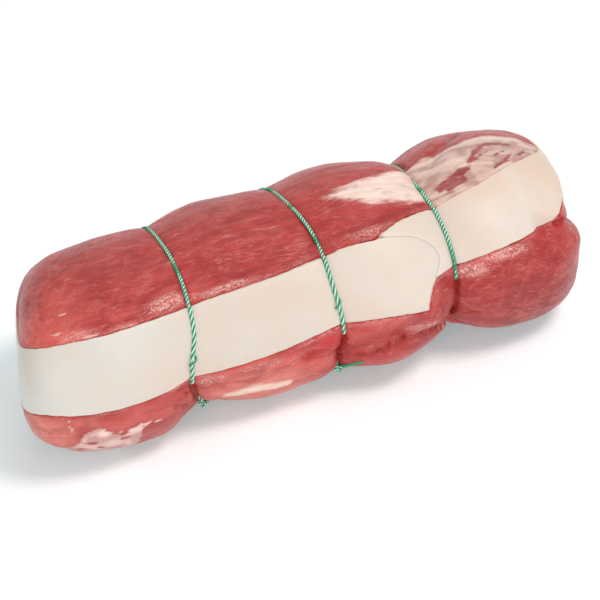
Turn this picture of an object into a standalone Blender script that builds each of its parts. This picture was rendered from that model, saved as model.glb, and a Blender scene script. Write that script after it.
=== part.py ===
"""A boned and rolled pork roast, barded with two strips of fat and tied with three loops of twine.

The roast lies along X, its shown side faces -Y, and it rests on the plane z = 0. The meat is one
soft body, squeezed at each loop of twine. A point on it has a station, the distance along X, and
an angle round X: 0 degrees at the front (-Y), 90 at the top. The fat strips lie in a shallow bed
in the meat and run round its ends, so their edges are given by compass angle and by rise angle
as seen from the middle of the roast.
"""
import math

import bmesh
import bpy
import numpy as np

# Driving dimensions, in metres
HALF_LENGTH = 0.125
WIDTH_TO_HEIGHT = 1.16
SINK = 0.0015             # how far the weight presses the underside flat
BOX_MIDDLE = (-0.00103, 0.00034)  # the middle of the finished roast before it is set over the origin

# How square the section and the left and right ends are: 2 is an ellipse
SECTION_POWER = 2.25
LEFT_END_POWER = 4.8
RIGHT_END_POWER = 7.0

# Station, half height there, and how far the middle lies to +Y
SECTIONS = (
    (-0.125, 0.0410, -0.0016),
    (-0.095, 0.0392, -0.0016),
    (-0.035, 0.0384, 0.0032),
    (0.030, 0.0404, 0.0000),
    (0.095, 0.0392, 0.0014),
    (0.125, 0.0370, 0.0014),
)

# Each loop of twine: station, squeeze at the top and at the lower front, and how far
# the front and the top of the loop lean to +X
TIES = (
    ("twine_left", -0.0600, 0.0015, 0.0120, -0.0010, -0.0010),
    ("twine_middle", -0.0005, 0.0025, 0.0070, 0.0032, -0.0036),
    ("twine_right", 0.0560, 0.0070, 0.0115, -0.0005, -0.0020),
)
SQUEEZE_REACH = 0.035     # how far along the meat a loop pulls it in
SQUEEZE_POWER = 2.4
SQUEEZE_ROUND = 0.002     # the crease under the twine is this round
SQUEEZE_TURN = 20         # degrees from straight down to where a loop bites deepest
LEFT_END_LEAN = (-0.0120, 0.0030)
RIGHT_END_LEAN = (-0.0055, -0.0040)
# Dents and, below zero, swellings of the right end: angle, half angle, depth
END_DENTS = ((48, 17, 0.0035), (20, 9, -0.0018))
END_DENT_FROM = 0.085     # the station where they begin

# How far each loop wanders to +X on its way round: angle, distance
WANDER = {
    "twine_left": (
        (-180, 0.0),
        (-90, 0.0010),
        (-38, 0.0030),
        (-20, -0.0008),
        (0, -0.0030),
        (14, -0.0027),
        (30, 0.0),
        (48, 0.0014),
        (140, 0.0010),
        (180, 0.0),
    ),
    "twine_middle": (
        (-180, 0.0),
        (-31, -0.0020),
        (0, -0.0005),
        (38, -0.0002),
        (51, 0.0009),
        (65, 0.0020),
        (85, 0.0025),
        (130, 0.0015),
        (180, 0.0),
    ),
    "twine_right": ((-180, 0.0), (180, 0.0)),
}
WANDER_REACH = 0.015      # the meat's rings follow the twine this far along

# Swellings: station, angle, half length, half angle, height
LOBES = (
    (0.105, -35, 0.025, 34, 0.0028),
    (-0.085, -50, 0.025, 34, 0.0035),
    (-0.030, -50, 0.030, 29, 0.0030),
    (0.042, -3, 0.006, 8, 0.0020),
    (0.020, -24, 0.016, 12, 0.0015),
    (0.112, 12, 0.014, 20, 0.0020),
    (-0.108, -48, 0.013, 30, 0.0014),
    (-0.0725, -36, 0.0065, 30, 0.0020),
    (-0.0085, -36, 0.007, 26, 0.0020),
    (-0.064, 128, 0.011, 22, 0.0014),
    (-0.003, 128, 0.008, 22, 0.0010),
    (0.050, 126, 0.007, 22, 0.0012),
)

# Folds: from station and angle to station and angle, depth, half width
FOLDS = (
    (0.000, -15, 0.024, -7, 0.0025, 0.0045),
    (0.024, -7, 0.042, -14, 0.0025, 0.0045),
    (-0.018, -5, -0.001, -14, 0.0020, 0.0040),
    (0.050, -10, 0.060, -34, 0.0030, 0.0045),
    (0.103, 34, 0.124, 30, 0.0060, 0.0060),
    (0.086, 132, 0.066, 104, 0.0022, 0.0050),
    (-0.120, -42, -0.106, -36, 0.0030, 0.0040),
)
MEAN_RADIUS = 0.042

# The fat strips: compass angle, rise of the lower edge, rise of the upper edge
LEFT_STRIP = (
    (-166, -6, 28),
    (-140, -8, 24),
    (-115, -12, 19),
    (-90, -12, 19),
    (-70, -8, 24),
    (-50, 2, 33),
    (-35, 2, 40),
    (-15, 5, 46),
    (0, 10, 51),
    (10, 9, 52),
    (26, 1, 50),
)
RIGHT_STRIP = (
    (12, 20, 49),
    (20, 21, 53),
    (40, 24.5, 56),
    (52, 25, 54),
    (60, 27.5, 52),
    (75, 24, 50),
    (90, 14, 45),
    (112, -2, 34),
    (135, -8, 28),
    (166, -4, 32),
)
# The free end of the left strip: rise, compass angle
LEFT_STRIP_REACH = 0.03   # loops of twine beyond this station cross the right strip
LEFT_STRIP_END = ((1, 16.5), (20, 19.8), (30, 24.5), (40, 25.9), (46, 24.0), (50, 19.0))

STRIP_PROUD = 0.0008      # the strips stand this far out of the meat
STRIP_THICK = 0.0030
LAP_PROUD = 0.0021        # where the left strip lies over the right one
LAP_THICK = 0.0016
LAP_UNDER = -0.0001       # how far the right strip's face stands out under the lap
# Degrees over which the left strip climbs on to the right one, by compass and by rise,
# and over which the right one comes out from under it
LAP_START = (2, 7)
LAP_CLIMB = (-16, -8)
LAP_PAST = (2, 6)
FREE_END_REACH = (-10, 26)
EDGE_DROP = 0.0007        # rounding of the strips' edges
GAP = 0.0004              # between touching pieces
NORMAL_STEP = 0.002       # the step, in radians, that the surface's normal is worked out from
NORMAL_ASIDE = (0.31, 0.52, 0.80)  # a fixed slant, to find two directions across a third
CUTTER_HEIGHT = 0.0045    # the solid that cuts a strip's bed stands this far out

TWINE_RADIUS = 0.0009
TWINE_CLEAR = 0.0015      # over the faceted meat and fat
TWINE_OVER_FAT = 0.0020   # further out where it crosses a strip
TWINE_CLIMB = (-14, -3)   # degrees from a strip's edge over which the twine climbs on to it
KNOT_RADIUS = 0.0021
KNOT_STANDOFF = 0.0017     # from the middle of the twine out to the middle of the knot
TAIL_RADIUS = 0.0007
# Each knot: angle, then the length of each of its tails and the way that it points
KNOTS = {
    "twine_left": (-38, ((0.0045, (0.50, -0.76, 0.42)), (0.0040, (-0.30, -0.75, -0.58)))),
    "twine_middle": (-32, ((0.0090, (0.74, -0.62, 0.22)), (0.0040, (-0.30, -0.75, -0.58)))),
    "twine_right": (-76, ((0.0045, (0.55, -0.80, -0.20)), (0.0045, (-0.55, -0.80, -0.20)))),
}

MEAT_RINGS = 60
MEAT_SPOKES = 44
STRIP_COLUMNS = 46
STRIP_ROWS = (0.0, 0.04, 0.15, 0.3, 0.45, 0.6, 0.75, 0.9, 1.0)
TWINE_STEPS = 46
FINE_STEPS = 1601
WELD_DISTANCE = 0.00001
SHARP_ANGLE = 50


def smooth_curve(table, x, column=1):
    """A smooth curve through the rows of a table, read at x."""
    xs = np.array([row[0] for row in table], float)
    ys = np.array([row[column] for row in table], float)
    slopes = np.gradient(ys, xs)
    x = np.clip(x, xs[0], xs[-1])
    i = np.clip(np.searchsorted(xs, x, side="right") - 1, 0, len(xs) - 2)
    h = xs[i + 1] - xs[i]
    t = (x - xs[i]) / h
    start = (1 + 2 * t) * (1 - t) ** 2 * ys[i] + t * (1 - t) ** 2 * h * slopes[i]
    end = t * t * (3 - 2 * t) * ys[i + 1] + t * t * (t - 1) * h * slopes[i + 1]
    return start + end


def ramp(x, low, high):
    """0 below low, 1 above high, smooth between."""
    t = np.clip((x - low) / (high - low), 0, 1)
    return t * t * (3 - 2 * t)


def turn_between(a, b):
    """The angle from b to a, within half a turn."""
    return (a - b + math.pi) % (2 * math.pi) - math.pi


def end_power(x):
    return np.where(x < 0, LEFT_END_POWER, RIGHT_END_POWER)


def wander(name, angle):
    """How far a loop has wandered along the roast at this angle."""
    return smooth_curve(WANDER[name], np.degrees(turn_between(angle, 0.0)))


def squeeze(station, angle):
    """How far the twine pulls the meat in."""
    share = 0.5 * (1 + np.sin(angle + math.radians(SQUEEZE_TURN)))
    total = 0.0
    for name, place, top, front, _, _ in TIES:
        away = np.hypot(station - place - wander(name, angle), SQUEEZE_ROUND) - SQUEEZE_ROUND
        reach = np.clip(1 - away / SQUEEZE_REACH, 0, None)
        total = total + (front + (top - front) * share) * reach ** SQUEEZE_POWER
    return total


def relief(station, angle):
    """Swellings and folds of the meat."""
    height = 0.0
    for place, turn, half_length, half_angle, rise in LOBES:
        along = (station - place) / half_length
        round_it = turn_between(angle, math.radians(turn)) / math.radians(half_angle)
        height = height + rise * np.exp(-along ** 2 - round_it ** 2)
    for place_a, turn_a, place_b, turn_b, depth, half_width in FOLDS:
        run = place_b - place_a
        climb = MEAN_RADIUS * math.radians(turn_b - turn_a)
        along = station - place_a
        up = MEAN_RADIUS * turn_between(angle, math.radians(turn_a))
        t = np.clip((along * run + up * climb) / (run ** 2 + climb ** 2), 0, 1)
        away = np.hypot(along - t * run, up - t * climb)
        height = height - depth * np.exp(-(away / half_width) ** 2)
    return height


def lean(station, angle):
    """How far a section leans to +X."""
    rows = [(-HALF_LENGTH, *LEFT_END_LEAN)]
    rows += [(place, front, top) for _, place, _, _, front, top in TIES]
    rows += [(HALF_LENGTH, *RIGHT_END_LEAN)]
    front = smooth_curve(rows, station, 1)
    top = smooth_curve(rows, station, 2)
    return front * np.cos(angle) + top * np.sin(angle)


def end_dent(station, angle):
    """How far the right end is dented at this angle."""
    depth = 0.0
    for turn, half_angle, dent in END_DENTS:
        round_it = turn_between(angle, math.radians(turn)) / math.radians(half_angle)
        depth = depth + dent * np.exp(-round_it ** 2)
    return depth * ramp(station, END_DENT_FROM, HALF_LENGTH)


def surface(station, fullness, angle):
    """The point at a station and an angle. Fullness falls from 1 to 0 across the ends."""
    half_height = smooth_curve(SECTIONS, station, 1)
    half_width = half_height * WIDTH_TO_HEIGHT
    across = np.abs(np.cos(angle) / half_width) ** SECTION_POWER
    upward = np.abs(np.sin(angle) / half_height) ** SECTION_POWER
    radius = (across + upward) ** (-1 / SECTION_POWER)
    radius = fullness * (radius - squeeze(station, angle) + relief(station, angle))
    x = station + fullness * (lean(station, angle) - end_dent(station, angle))
    y = smooth_curve(SECTIONS, station, 2) - radius * np.cos(angle)
    z = half_height - SINK + radius * np.sin(angle)
    middle_x, middle_y = BOX_MIDDLE
    return np.stack([x - middle_x, y - middle_y, np.maximum(z, 0)], axis=-1)


def station_of(direction):
    """Station, fullness and angle for directions from the middle of the roast."""
    along = direction[..., 0]
    around = np.hypot(direction[..., 1], direction[..., 2])
    power = end_power(along)
    scale = (np.abs(along) ** power + around ** power) ** (-1 / power)
    angle = np.arctan2(direction[..., 2], -direction[..., 1])
    return along * scale * HALF_LENGTH, around * scale, angle


def fullness_at(station):
    power = end_power(station)
    return np.maximum(1 - np.abs(station / HALF_LENGTH) ** power, 0) ** (1 / power)


def direction_to(station, angle):
    """The direction from the middle of the roast to a station and an angle."""
    fullness = fullness_at(station)
    along = station / HALF_LENGTH
    return np.stack([along, -fullness * np.cos(angle), fullness * np.sin(angle)], axis=-1)


def compass(turn, rise):
    """The direction at a compass angle from the front and a rise angle, in degrees."""
    turn, rise = np.radians(turn), np.radians(rise)
    return np.stack([np.sin(turn) * np.cos(rise), -np.cos(turn) * np.cos(rise), np.sin(rise)], axis=-1)


def skin(direction, lift=0.0):
    """The point of the surface in a direction, lifted along the surface's normal."""
    direction = direction / np.linalg.norm(direction, axis=-1, keepdims=True)
    point = surface(*station_of(direction))
    side = np.cross(direction, NORMAL_ASIDE)
    side = side / np.linalg.norm(side, axis=-1, keepdims=True)
    other = np.cross(direction, side)
    step_side = surface(*station_of(direction + NORMAL_STEP * side)) - point
    step_other = surface(*station_of(direction + NORMAL_STEP * other)) - point
    normal = np.cross(step_side, step_other)
    normal = normal / np.linalg.norm(normal, axis=-1, keepdims=True)
    return point + np.asarray(lift)[..., None] * normal


def ring_angles():
    """Polar angles of the meat's rings, evenly spread, with rings at each loop of twine."""
    polar = np.linspace(0, math.pi, FINE_STEPS)
    direction = np.stack([-np.cos(polar), np.zeros_like(polar), np.sin(polar)], axis=-1)
    station, fullness, _ = station_of(direction)
    steps = np.hypot(np.diff(station), MEAN_RADIUS * np.diff(fullness))
    length = np.concatenate([[0], np.cumsum(steps)])
    even = np.interp(np.linspace(0, length[-1], MEAT_RINGS + 1), length, polar)
    places = np.interp(even, polar, station)
    for _, place, _, _, _, _ in TIES:
        nearest = int(np.argmin(np.abs(places - place)))
        for step in (-1, 0, 1):
            places[nearest + step] = place + 2 * step * SQUEEZE_ROUND
            even[nearest + step] = np.interp(places[nearest + step], station, polar)
    return even


def strip_lift(side, turn, rise, row, layer, grow):
    """How far a point of a fat strip stands out of the meat. Layer 0 is the inner face, 1 the outer."""
    if side == "left":
        lap_floor = smooth_curve(RIGHT_STRIP, turn, 1)
        lap = ramp(turn, *LAP_START) * ramp(rise - lap_floor, *LAP_CLIMB)
        proud = STRIP_PROUD + (LAP_PROUD - STRIP_PROUD) * lap
        thick = STRIP_THICK + (LAP_THICK - STRIP_THICK) * lap
    else:
        end = smooth_curve(LEFT_STRIP_END, rise, 1)
        lap = 1 - ramp(turn - end, *LAP_PAST)
        proud = STRIP_PROUD + (LAP_UNDER - STRIP_PROUD) * lap
        thick = STRIP_THICK + (LAP_UNDER - STRIP_PROUD) * lap
    if layer == 0:
        return proud - thick - grow
    if grow:
        return CUTTER_HEIGHT
    return proud - EDGE_DROP * (row in (0, 1))


def strip_columns(table):
    """Compass angles that spread a strip's columns evenly along it."""
    turns = np.linspace(table[0][0], table[-1][0], FINE_STEPS)
    middle = 0.5 * (smooth_curve(table, turns, 1) + smooth_curve(table, turns, 2))
    path = skin(compass(turns, middle))
    length = np.concatenate([[0], np.cumsum(np.linalg.norm(np.diff(path, axis=0), axis=1))])
    return np.interp(np.linspace(0, length[-1], STRIP_COLUMNS + 1), length, turns)


def strip_mesh(name, side, grow=0.0):
    """A closed strip on the meat. With grow it is the wider solid that cuts the strip's bed."""
    table = LEFT_STRIP if side == "left" else RIGHT_STRIP
    rows = len(STRIP_ROWS) - 1
    bm = bmesh.new()
    bmesh.ops.create_grid(bm, x_segments=STRIP_COLUMNS, y_segments=rows, size=0.5)
    upper = bmesh.ops.extrude_face_region(bm, geom=bm.faces[:])
    new_verts = [v for v in upper["geom"] if isinstance(v, bmesh.types.BMVert)]
    bmesh.ops.translate(bm, verts=new_verts, vec=(0, 0, 1))

    columns = strip_columns(table)
    wider = math.degrees(grow / MEAN_RADIUS)
    for vert in bm.verts:
        column = round((vert.co.x + 0.5) * STRIP_COLUMNS)
        row = STRIP_ROWS[round((vert.co.y + 0.5) * rows)]
        turn = columns[column]
        low = smooth_curve(table, turn, 1)
        high = smooth_curve(table, turn, 2)
        rise = low + row * (high - low)
        if side == "left":
            free_end = smooth_curve(LEFT_STRIP_END, rise, 1)
            turn = turn + ramp(turn, *FREE_END_REACH) * (free_end - table[-1][0])
        lift = strip_lift(side, turn, rise, row, round(vert.co.z), grow)
        turn = turn + wider * (column == STRIP_COLUMNS) - wider * (column == 0)
        rise = rise + wider * (row == 1) - wider * (row == 0)
        vert.co = skin(compass(turn, rise), lift)
    return finish_mesh(bm, name)


def finish_mesh(bm, name):
    bmesh.ops.triangulate(bm, faces=bm.faces[:], quad_method="FIXED")
    bmesh.ops.recalc_face_normals(bm, faces=bm.faces[:])
    mesh = bpy.data.meshes.new(name)
    bm.to_mesh(mesh)
    bm.free()
    mesh.shade_smooth()
    mesh.set_sharp_from_angle(angle=math.radians(SHARP_ANGLE))
    return mesh


def follow_twine(direction):
    """A direction moved along the roast as the nearest loop of twine wanders."""
    station, _, angle = station_of(direction)
    shift = 0.0
    for name, place, _, _, _, _ in TIES:
        near = np.exp(-((station - place) / WANDER_REACH) ** 2)
        shift = shift + wander(name, angle) * near
    return direction_to(station + shift, angle)


def meat_mesh():
    """The body of meat, from a sphere whose poles are the ends of the roast."""
    bm = bmesh.new()
    bmesh.ops.create_uvsphere(bm, u_segments=MEAT_SPOKES, v_segments=MEAT_RINGS, radius=1)
    angles = ring_angles()
    for vert in bm.verts:
        polar = angles[round(math.acos(max(-1, min(1, vert.co.z))) / math.pi * MEAT_RINGS)]
        spoke = math.atan2(vert.co.y, vert.co.x)
        around = math.sin(polar)
        direction = (-math.cos(polar), -around * math.cos(spoke), around * math.sin(spoke))
        vert.co = skin(follow_twine(np.array(direction)))
    return finish_mesh(bm, "meat")


def fat_below(station, angle):
    """1 where a loop of twine at this station passes over a fat strip."""
    along, across, upward = np.moveaxis(direction_to(station, angle), -1, 0)
    turn = np.degrees(np.arctan2(along, -across))
    rise = np.degrees(np.arctan2(upward, np.hypot(along, across)))
    table = LEFT_STRIP if station[0] < LEFT_STRIP_REACH else RIGHT_STRIP
    low = smooth_curve(table, turn, 1)
    high = smooth_curve(table, turn, 2)
    covered = ramp(rise - low, *TWINE_CLIMB) * ramp(high - rise, *TWINE_CLIMB)
    return covered * (turn > table[0][0]) * (turn < table[-1][0])


def twine_path(name, station, angles):
    """The middle of a loop of twine at these angles."""
    stations = station + wander(name, angles)
    lift = TWINE_RADIUS + TWINE_CLEAR + TWINE_OVER_FAT * fat_below(stations, angles)
    return skin(direction_to(stations, angles), lift)


def tube_object(name, points, radius, closed):
    """A tube along the points, made a mesh with its caps welded."""
    curve = bpy.data.curves.new(name, "CURVE")
    curve.dimensions = "3D"
    curve.bevel_depth = radius
    curve.bevel_resolution = 2
    curve.use_fill_caps = not closed
    spline = curve.splines.new("POLY")
    spline.points.add(len(points) - 1)
    for spot, point in zip(spline.points, points):
        spot.co = (*point, 1)
    spline.use_cyclic_u = closed
    holder = bpy.data.objects.new(name + "_curve", curve)
    bpy.context.scene.collection.objects.link(holder)
    graph = bpy.context.evaluated_depsgraph_get()
    mesh = bpy.data.meshes.new_from_object(holder.evaluated_get(graph))
    bpy.data.objects.remove(holder)
    bm = bmesh.new()
    bm.from_mesh(mesh)
    bmesh.ops.remove_doubles(bm, verts=bm.verts[:], dist=WELD_DISTANCE)
    bpy.data.meshes.remove(mesh)
    return bpy.data.objects.new(name, finish_mesh(bm, name))


def knot_ball(name, centre):
    bm = bmesh.new()
    bmesh.ops.create_icosphere(bm, subdivisions=2, radius=KNOT_RADIUS)
    bmesh.ops.translate(bm, verts=bm.verts[:], vec=centre)
    return bpy.data.objects.new(name, finish_mesh(bm, name))


def make_material(name, colour, roughness):
    material = bpy.data.materials.new(name)
    material.use_nodes = True
    shader = material.node_tree.nodes["Principled BSDF"]
    shader.inputs["Base Color"].default_value = (*colour, 1)
    shader.inputs["Roughness"].default_value = roughness
    shader.inputs["Metallic"].default_value = 0
    return material


def new_collection(name):
    collection = bpy.data.collections.new(name)
    bpy.context.scene.collection.children.link(collection)
    return collection


def boolean(thing, operation, other=None, group=None):
    """Apply a Boolean at once."""
    modifier = thing.modifiers.new(operation.lower(), "BOOLEAN")
    modifier.operation = operation
    modifier.solver = "EXACT"
    if group:
        modifier.operand_type = "COLLECTION"
        modifier.collection = group
    else:
        modifier.object = other
    graph = bpy.context.evaluated_depsgraph_get()
    mesh = bpy.data.meshes.new_from_object(thing.evaluated_get(graph))
    thing.modifiers.clear()
    thing.data = mesh


def build_meat(roast, cutters, material):
    meat = bpy.data.objects.new("meat", meat_mesh())
    roast.objects.link(meat)
    for side in ("left", "right"):
        bed = bpy.data.objects.new("bed_" + side, strip_mesh("bed_" + side, side, grow=GAP))
        bed.hide_render = True
        bed.display_type = "WIRE"
        cutters.objects.link(bed)
        boolean(meat, "DIFFERENCE", other=bed)
    meat.data.materials.clear()
    meat.data.materials.append(material)


def build_strips(roast, material):
    for side in ("left", "right"):
        name = "fat_strip_" + side
        strip = bpy.data.objects.new(name, strip_mesh(name, side))
        strip.data.materials.append(material)
        roast.objects.link(strip)


def build_twine(roast, material):
    """Each loop with its knot and two short tails, joined into one solid."""
    angles = np.linspace(0, 2 * math.pi, TWINE_STEPS, endpoint=False)
    for name, station, _, _, _, _ in TIES:
        loop = tube_object(name, twine_path(name, station, angles), TWINE_RADIUS, closed=True)
        roast.objects.link(loop)
        extras = new_collection(name + "_extras")
        knot_angle, tails = KNOTS[name]
        spot = math.radians(knot_angle)
        outward = np.array([0, -math.cos(spot), math.sin(spot)])
        centre = twine_path(name, station, np.array([spot]))[0] + outward * KNOT_STANDOFF
        extras.objects.link(knot_ball(name + "_knot", centre))
        for number, (length, way) in enumerate(tails):
            steps = np.linspace(0, length, 4)[:, None]
            tail = tube_object(f"{name}_tail{number}", centre + steps * way, TAIL_RADIUS, closed=False)
            extras.objects.link(tail)
        boolean(loop, "UNION", group=extras)
        for extra in list(extras.objects):
            bpy.data.objects.remove(extra)
        bpy.data.collections.remove(extras)
        loop.data.materials.clear()
        loop.data.materials.append(material)


def main():
    for old in list(bpy.data.objects):
        bpy.data.objects.remove(old)
    roast = new_collection("tied_pork_roast")
    cutters = new_collection("cutters")
    meat_red = make_material("raw_meat", (0.47, 0.085, 0.072), 0.35)
    fat_cream = make_material("fat", (0.83, 0.74, 0.63), 0.5)
    twine_green = make_material("twine", (0.12, 0.48, 0.30), 0.85)
    build_meat(roast, cutters, meat_red)
    build_strips(roast, fat_cream)
    build_twine(roast, twine_green)


main()
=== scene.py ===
# %% [markdown]
# A raw pork roast, tied for the oven. The boned meat is rolled into a log, two strips of pale
# back fat are laid along its side and round its ends, and three loops of green and white
# butcher's twine hold everything in shape. The solids with the right sizes and places are
# already made. This lesson gives each of them a finely modelled surface and a good material.
#
# The first step loads those solids. Everything is in metres, X runs along the roast, -Y is the
# side that the camera sees, and the roast rests on z = 0.

# %% Load the roast's solids
import math

import bmesh
import bpy
import numpy as np
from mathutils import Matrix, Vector, noise


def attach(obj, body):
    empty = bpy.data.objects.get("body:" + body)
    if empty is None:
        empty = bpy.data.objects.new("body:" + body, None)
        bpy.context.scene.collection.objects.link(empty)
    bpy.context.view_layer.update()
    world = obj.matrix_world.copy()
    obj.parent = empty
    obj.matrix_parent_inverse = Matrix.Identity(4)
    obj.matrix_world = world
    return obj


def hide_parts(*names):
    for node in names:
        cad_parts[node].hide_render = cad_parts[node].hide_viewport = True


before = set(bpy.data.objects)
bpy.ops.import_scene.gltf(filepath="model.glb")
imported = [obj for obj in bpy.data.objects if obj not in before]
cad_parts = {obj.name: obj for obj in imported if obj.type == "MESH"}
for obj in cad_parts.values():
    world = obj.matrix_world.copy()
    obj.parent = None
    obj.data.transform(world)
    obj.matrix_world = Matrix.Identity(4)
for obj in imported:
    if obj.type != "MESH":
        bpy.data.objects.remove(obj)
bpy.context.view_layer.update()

# %% [markdown]
# The camera stands off to the left and looks down on the roast from about forty degrees, with a
# long lens, so that the log hardly tapers. It is placed by an azimuth, a height angle and a
# distance round a target point, which is easier to reason about than raw coordinates.

# %% Camera
CAMERA_AZIMUTH = -23.6
CAMERA_HEIGHT_ANGLE = 41.2
CAMERA_DISTANCE = 0.790
CAMERA_TARGET = (0.0005, -0.0013, 0.0277)
LENS = 110

def direction_from(azimuth, height_angle):
    """The way from the target to a viewer. Azimuth 0 is the front, -Y."""
    azimuth, height_angle = math.radians(azimuth), math.radians(height_angle)
    flat = math.cos(height_angle)
    return Vector((math.sin(azimuth) * flat, -math.cos(azimuth) * flat, math.sin(height_angle)))

def aim(thing, target):
    """Turn a camera or a light, which look along their own -Z, towards a point."""
    thing.rotation_euler = (Vector(target) - thing.location).to_track_quat("-Z", "Y").to_euler()

camera_data = bpy.data.cameras.new("camera")
camera_data.lens = LENS
camera = bpy.data.objects.new("camera", camera_data)
bpy.context.scene.collection.objects.link(camera)
camera_way = direction_from(CAMERA_AZIMUTH, CAMERA_HEIGHT_ANGLE)
camera.location = Vector(CAMERA_TARGET) + CAMERA_DISTANCE * camera_way
aim(camera, CAMERA_TARGET)
bpy.context.scene.camera = camera
print("camera at", tuple(round(c, 3) for c in camera.location))

# %% [markdown]
# The whole roast is described by smooth curves through a few listed sizes. These small
# helpers read such a curve, ramp a value from 0 to 1, make a soft bump, and look up noise for
# many points at once. They work on whole arrays, because the finished meat has a hundred
# thousand points.

# %% Helpers for smooth shapes
def smooth_curve(table, x, column=1):
    """A smooth curve through the rows of a table, read at x."""
    xs = np.array([row[0] for row in table], float)
    ys = np.array([row[column] for row in table], float)
    slopes = np.gradient(ys, xs)
    x = np.clip(x, xs[0], xs[-1])
    i = np.clip(np.searchsorted(xs, x, side="right") - 1, 0, len(xs) - 2)
    h = xs[i + 1] - xs[i]
    t = (x - xs[i]) / h
    start = (1 + 2 * t) * (1 - t) ** 2 * ys[i] + t * (1 - t) ** 2 * h * slopes[i]
    end = t * t * (3 - 2 * t) * ys[i + 1] + t * t * (t - 1) * h * slopes[i + 1]
    return start + end

def ramp(x, low, high):
    """0 below low, 1 above high, smooth between."""
    t = np.clip((x - low) / (high - low), 0, 1)
    return t * t * (3 - 2 * t)

def turn_between(a, b):
    """The angle from b to a, in radians, within half a turn."""
    return (a - b + math.pi) % (2 * math.pi) - math.pi

def noise_at(points, size, seed=0):
    """Smooth noise from about -1 to 1. size is the size of one blob, or one size for each axis."""
    spots = np.asarray(points) / np.asarray(size) + 17.3 * seed
    return np.array([noise.noise(spot) for spot in spots.tolist()])

print("a ramp's middle:", float(ramp(0.5, 0, 1)))

# %% [markdown]
# These are the sizes of the log itself. A point on it has a station, the distance along X, and
# an angle round X, with 0 at the front and 90 degrees at the top. The section is a slightly
# squared ellipse, a little wider than high because raw meat sags, and the ends are blunt.

# %% Sizes of the log
HALF_LENGTH = 0.125
WIDTH_TO_HEIGHT = 1.16
SINK = 0.0015
BOX_MIDDLE = (-0.00103, 0.00034)
SECTION_POWER = 2.25
LEFT_END_POWER = 4.8
RIGHT_END_POWER = 7.0
MEAN_RADIUS = 0.042

# Station, half height there, and how far the middle lies to +Y
SECTIONS = (
    (-0.125, 0.0410, -0.0016),
    (-0.095, 0.0392, -0.0016),
    (-0.035, 0.0384, 0.0032),
    (0.030, 0.0404, 0.0000),
    (0.095, 0.0392, 0.0014),
    (0.125, 0.0370, 0.0014),
)

# Each loop of twine: station, squeeze at the top and at the lower front, lean of front and top
TIES = (
    ("twine_left", -0.0600, 0.0015, 0.0120, -0.0010, -0.0010),
    ("twine_middle", -0.0005, 0.0025, 0.0070, 0.0032, -0.0036),
    ("twine_right", 0.0560, 0.0070, 0.0115, -0.0005, -0.0020),
)
SQUEEZE_REACH = 0.035
SQUEEZE_POWER = 2.4
SQUEEZE_ROUND = 0.002
SQUEEZE_TURN = 20
LEFT_END_LEAN = (-0.0120, 0.0030)
RIGHT_END_LEAN = (-0.0055, -0.0040)
# Dents and, below zero, swellings of the right end: angle, half angle, depth
END_DENTS = ((48, 17, 0.0035), (20, 9, -0.0018))
END_DENT_FROM = 0.085

# How far each loop wanders to +X on its way round: angle, distance
WANDER = {
    "twine_left": (
        (-180, 0.0),
        (-90, 0.0010),
        (-38, 0.0030),
        (-20, -0.0008),
        (0, -0.0030),
        (14, -0.0027),
        (30, 0.0),
        (48, 0.0014),
        (140, 0.0010),
        (180, 0.0),
    ),
    "twine_middle": (
        (-180, 0.0),
        (-31, -0.0020),
        (0, -0.0005),
        (38, -0.0002),
        (51, 0.0009),
        (65, 0.0020),
        (85, 0.0025),
        (130, 0.0015),
        (180, 0.0),
    ),
    "twine_right": ((-180, 0.0), (180, 0.0)),
}
WANDER_REACH = 0.015
print("the log is", 2 * HALF_LENGTH, "m long between its end faces")

# %% [markdown]
# Meat isn't a smooth balloon. It has swellings where a muscle pushes out, and folds where two
# muscles meet or where the roll closes on itself. Each swelling is a soft bump at a station and
# an angle. Each fold is a groove along a line from one place to another.

# %% Swellings and folds
# Station, angle, half length, half angle, height
LOBES = (
    (0.105, -35, 0.025, 34, 0.0028),
    (-0.085, -50, 0.025, 34, 0.0035),
    (-0.030, -50, 0.030, 29, 0.0030),
    (0.042, -3, 0.006, 8, 0.0020),
    (0.020, -24, 0.016, 12, 0.0015),
    (0.112, 12, 0.014, 20, 0.0020),
    (-0.108, -48, 0.013, 30, 0.0014),
    (-0.0725, -36, 0.0065, 30, 0.0020),
    (-0.0085, -36, 0.007, 26, 0.0020),
    (-0.064, 128, 0.011, 22, 0.0014),
    (-0.003, 128, 0.008, 22, 0.0010),
    (0.050, 126, 0.007, 22, 0.0012),
)

# From station and angle to station and angle, depth, half width
FOLDS = (
    (0.000, -15, 0.024, -7, 0.0025, 0.0045),
    (0.024, -7, 0.042, -14, 0.0025, 0.0045),
    (-0.018, -5, -0.001, -14, 0.0020, 0.0040),
    (0.050, -10, 0.060, -34, 0.0030, 0.0045),
    (0.103, 34, 0.124, 30, 0.0060, 0.0060),
    (0.086, 132, 0.066, 104, 0.0022, 0.0050),
    (-0.120, -42, -0.106, -36, 0.0030, 0.0040),
)

def line_distance(station, angle, place_a, turn_a, place_b, turn_b):
    """Metres over the surface to a straight line between two places."""
    run = place_b - place_a
    climb = MEAN_RADIUS * math.radians(turn_b - turn_a)
    along = station - place_a
    up = MEAN_RADIUS * turn_between(angle, math.radians(turn_a))
    t = np.clip((along * run + up * climb) / (run ** 2 + climb ** 2), 0, 1)
    return np.hypot(along - t * run, up - t * climb)

def bump(station, angle, place, turn, half_length, half_angle):
    """1 at a place and 0 far from it."""
    along = (station - place) / half_length
    round_it = turn_between(angle, math.radians(turn)) / math.radians(half_angle)
    return np.exp(-along ** 2 - round_it ** 2)

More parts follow.
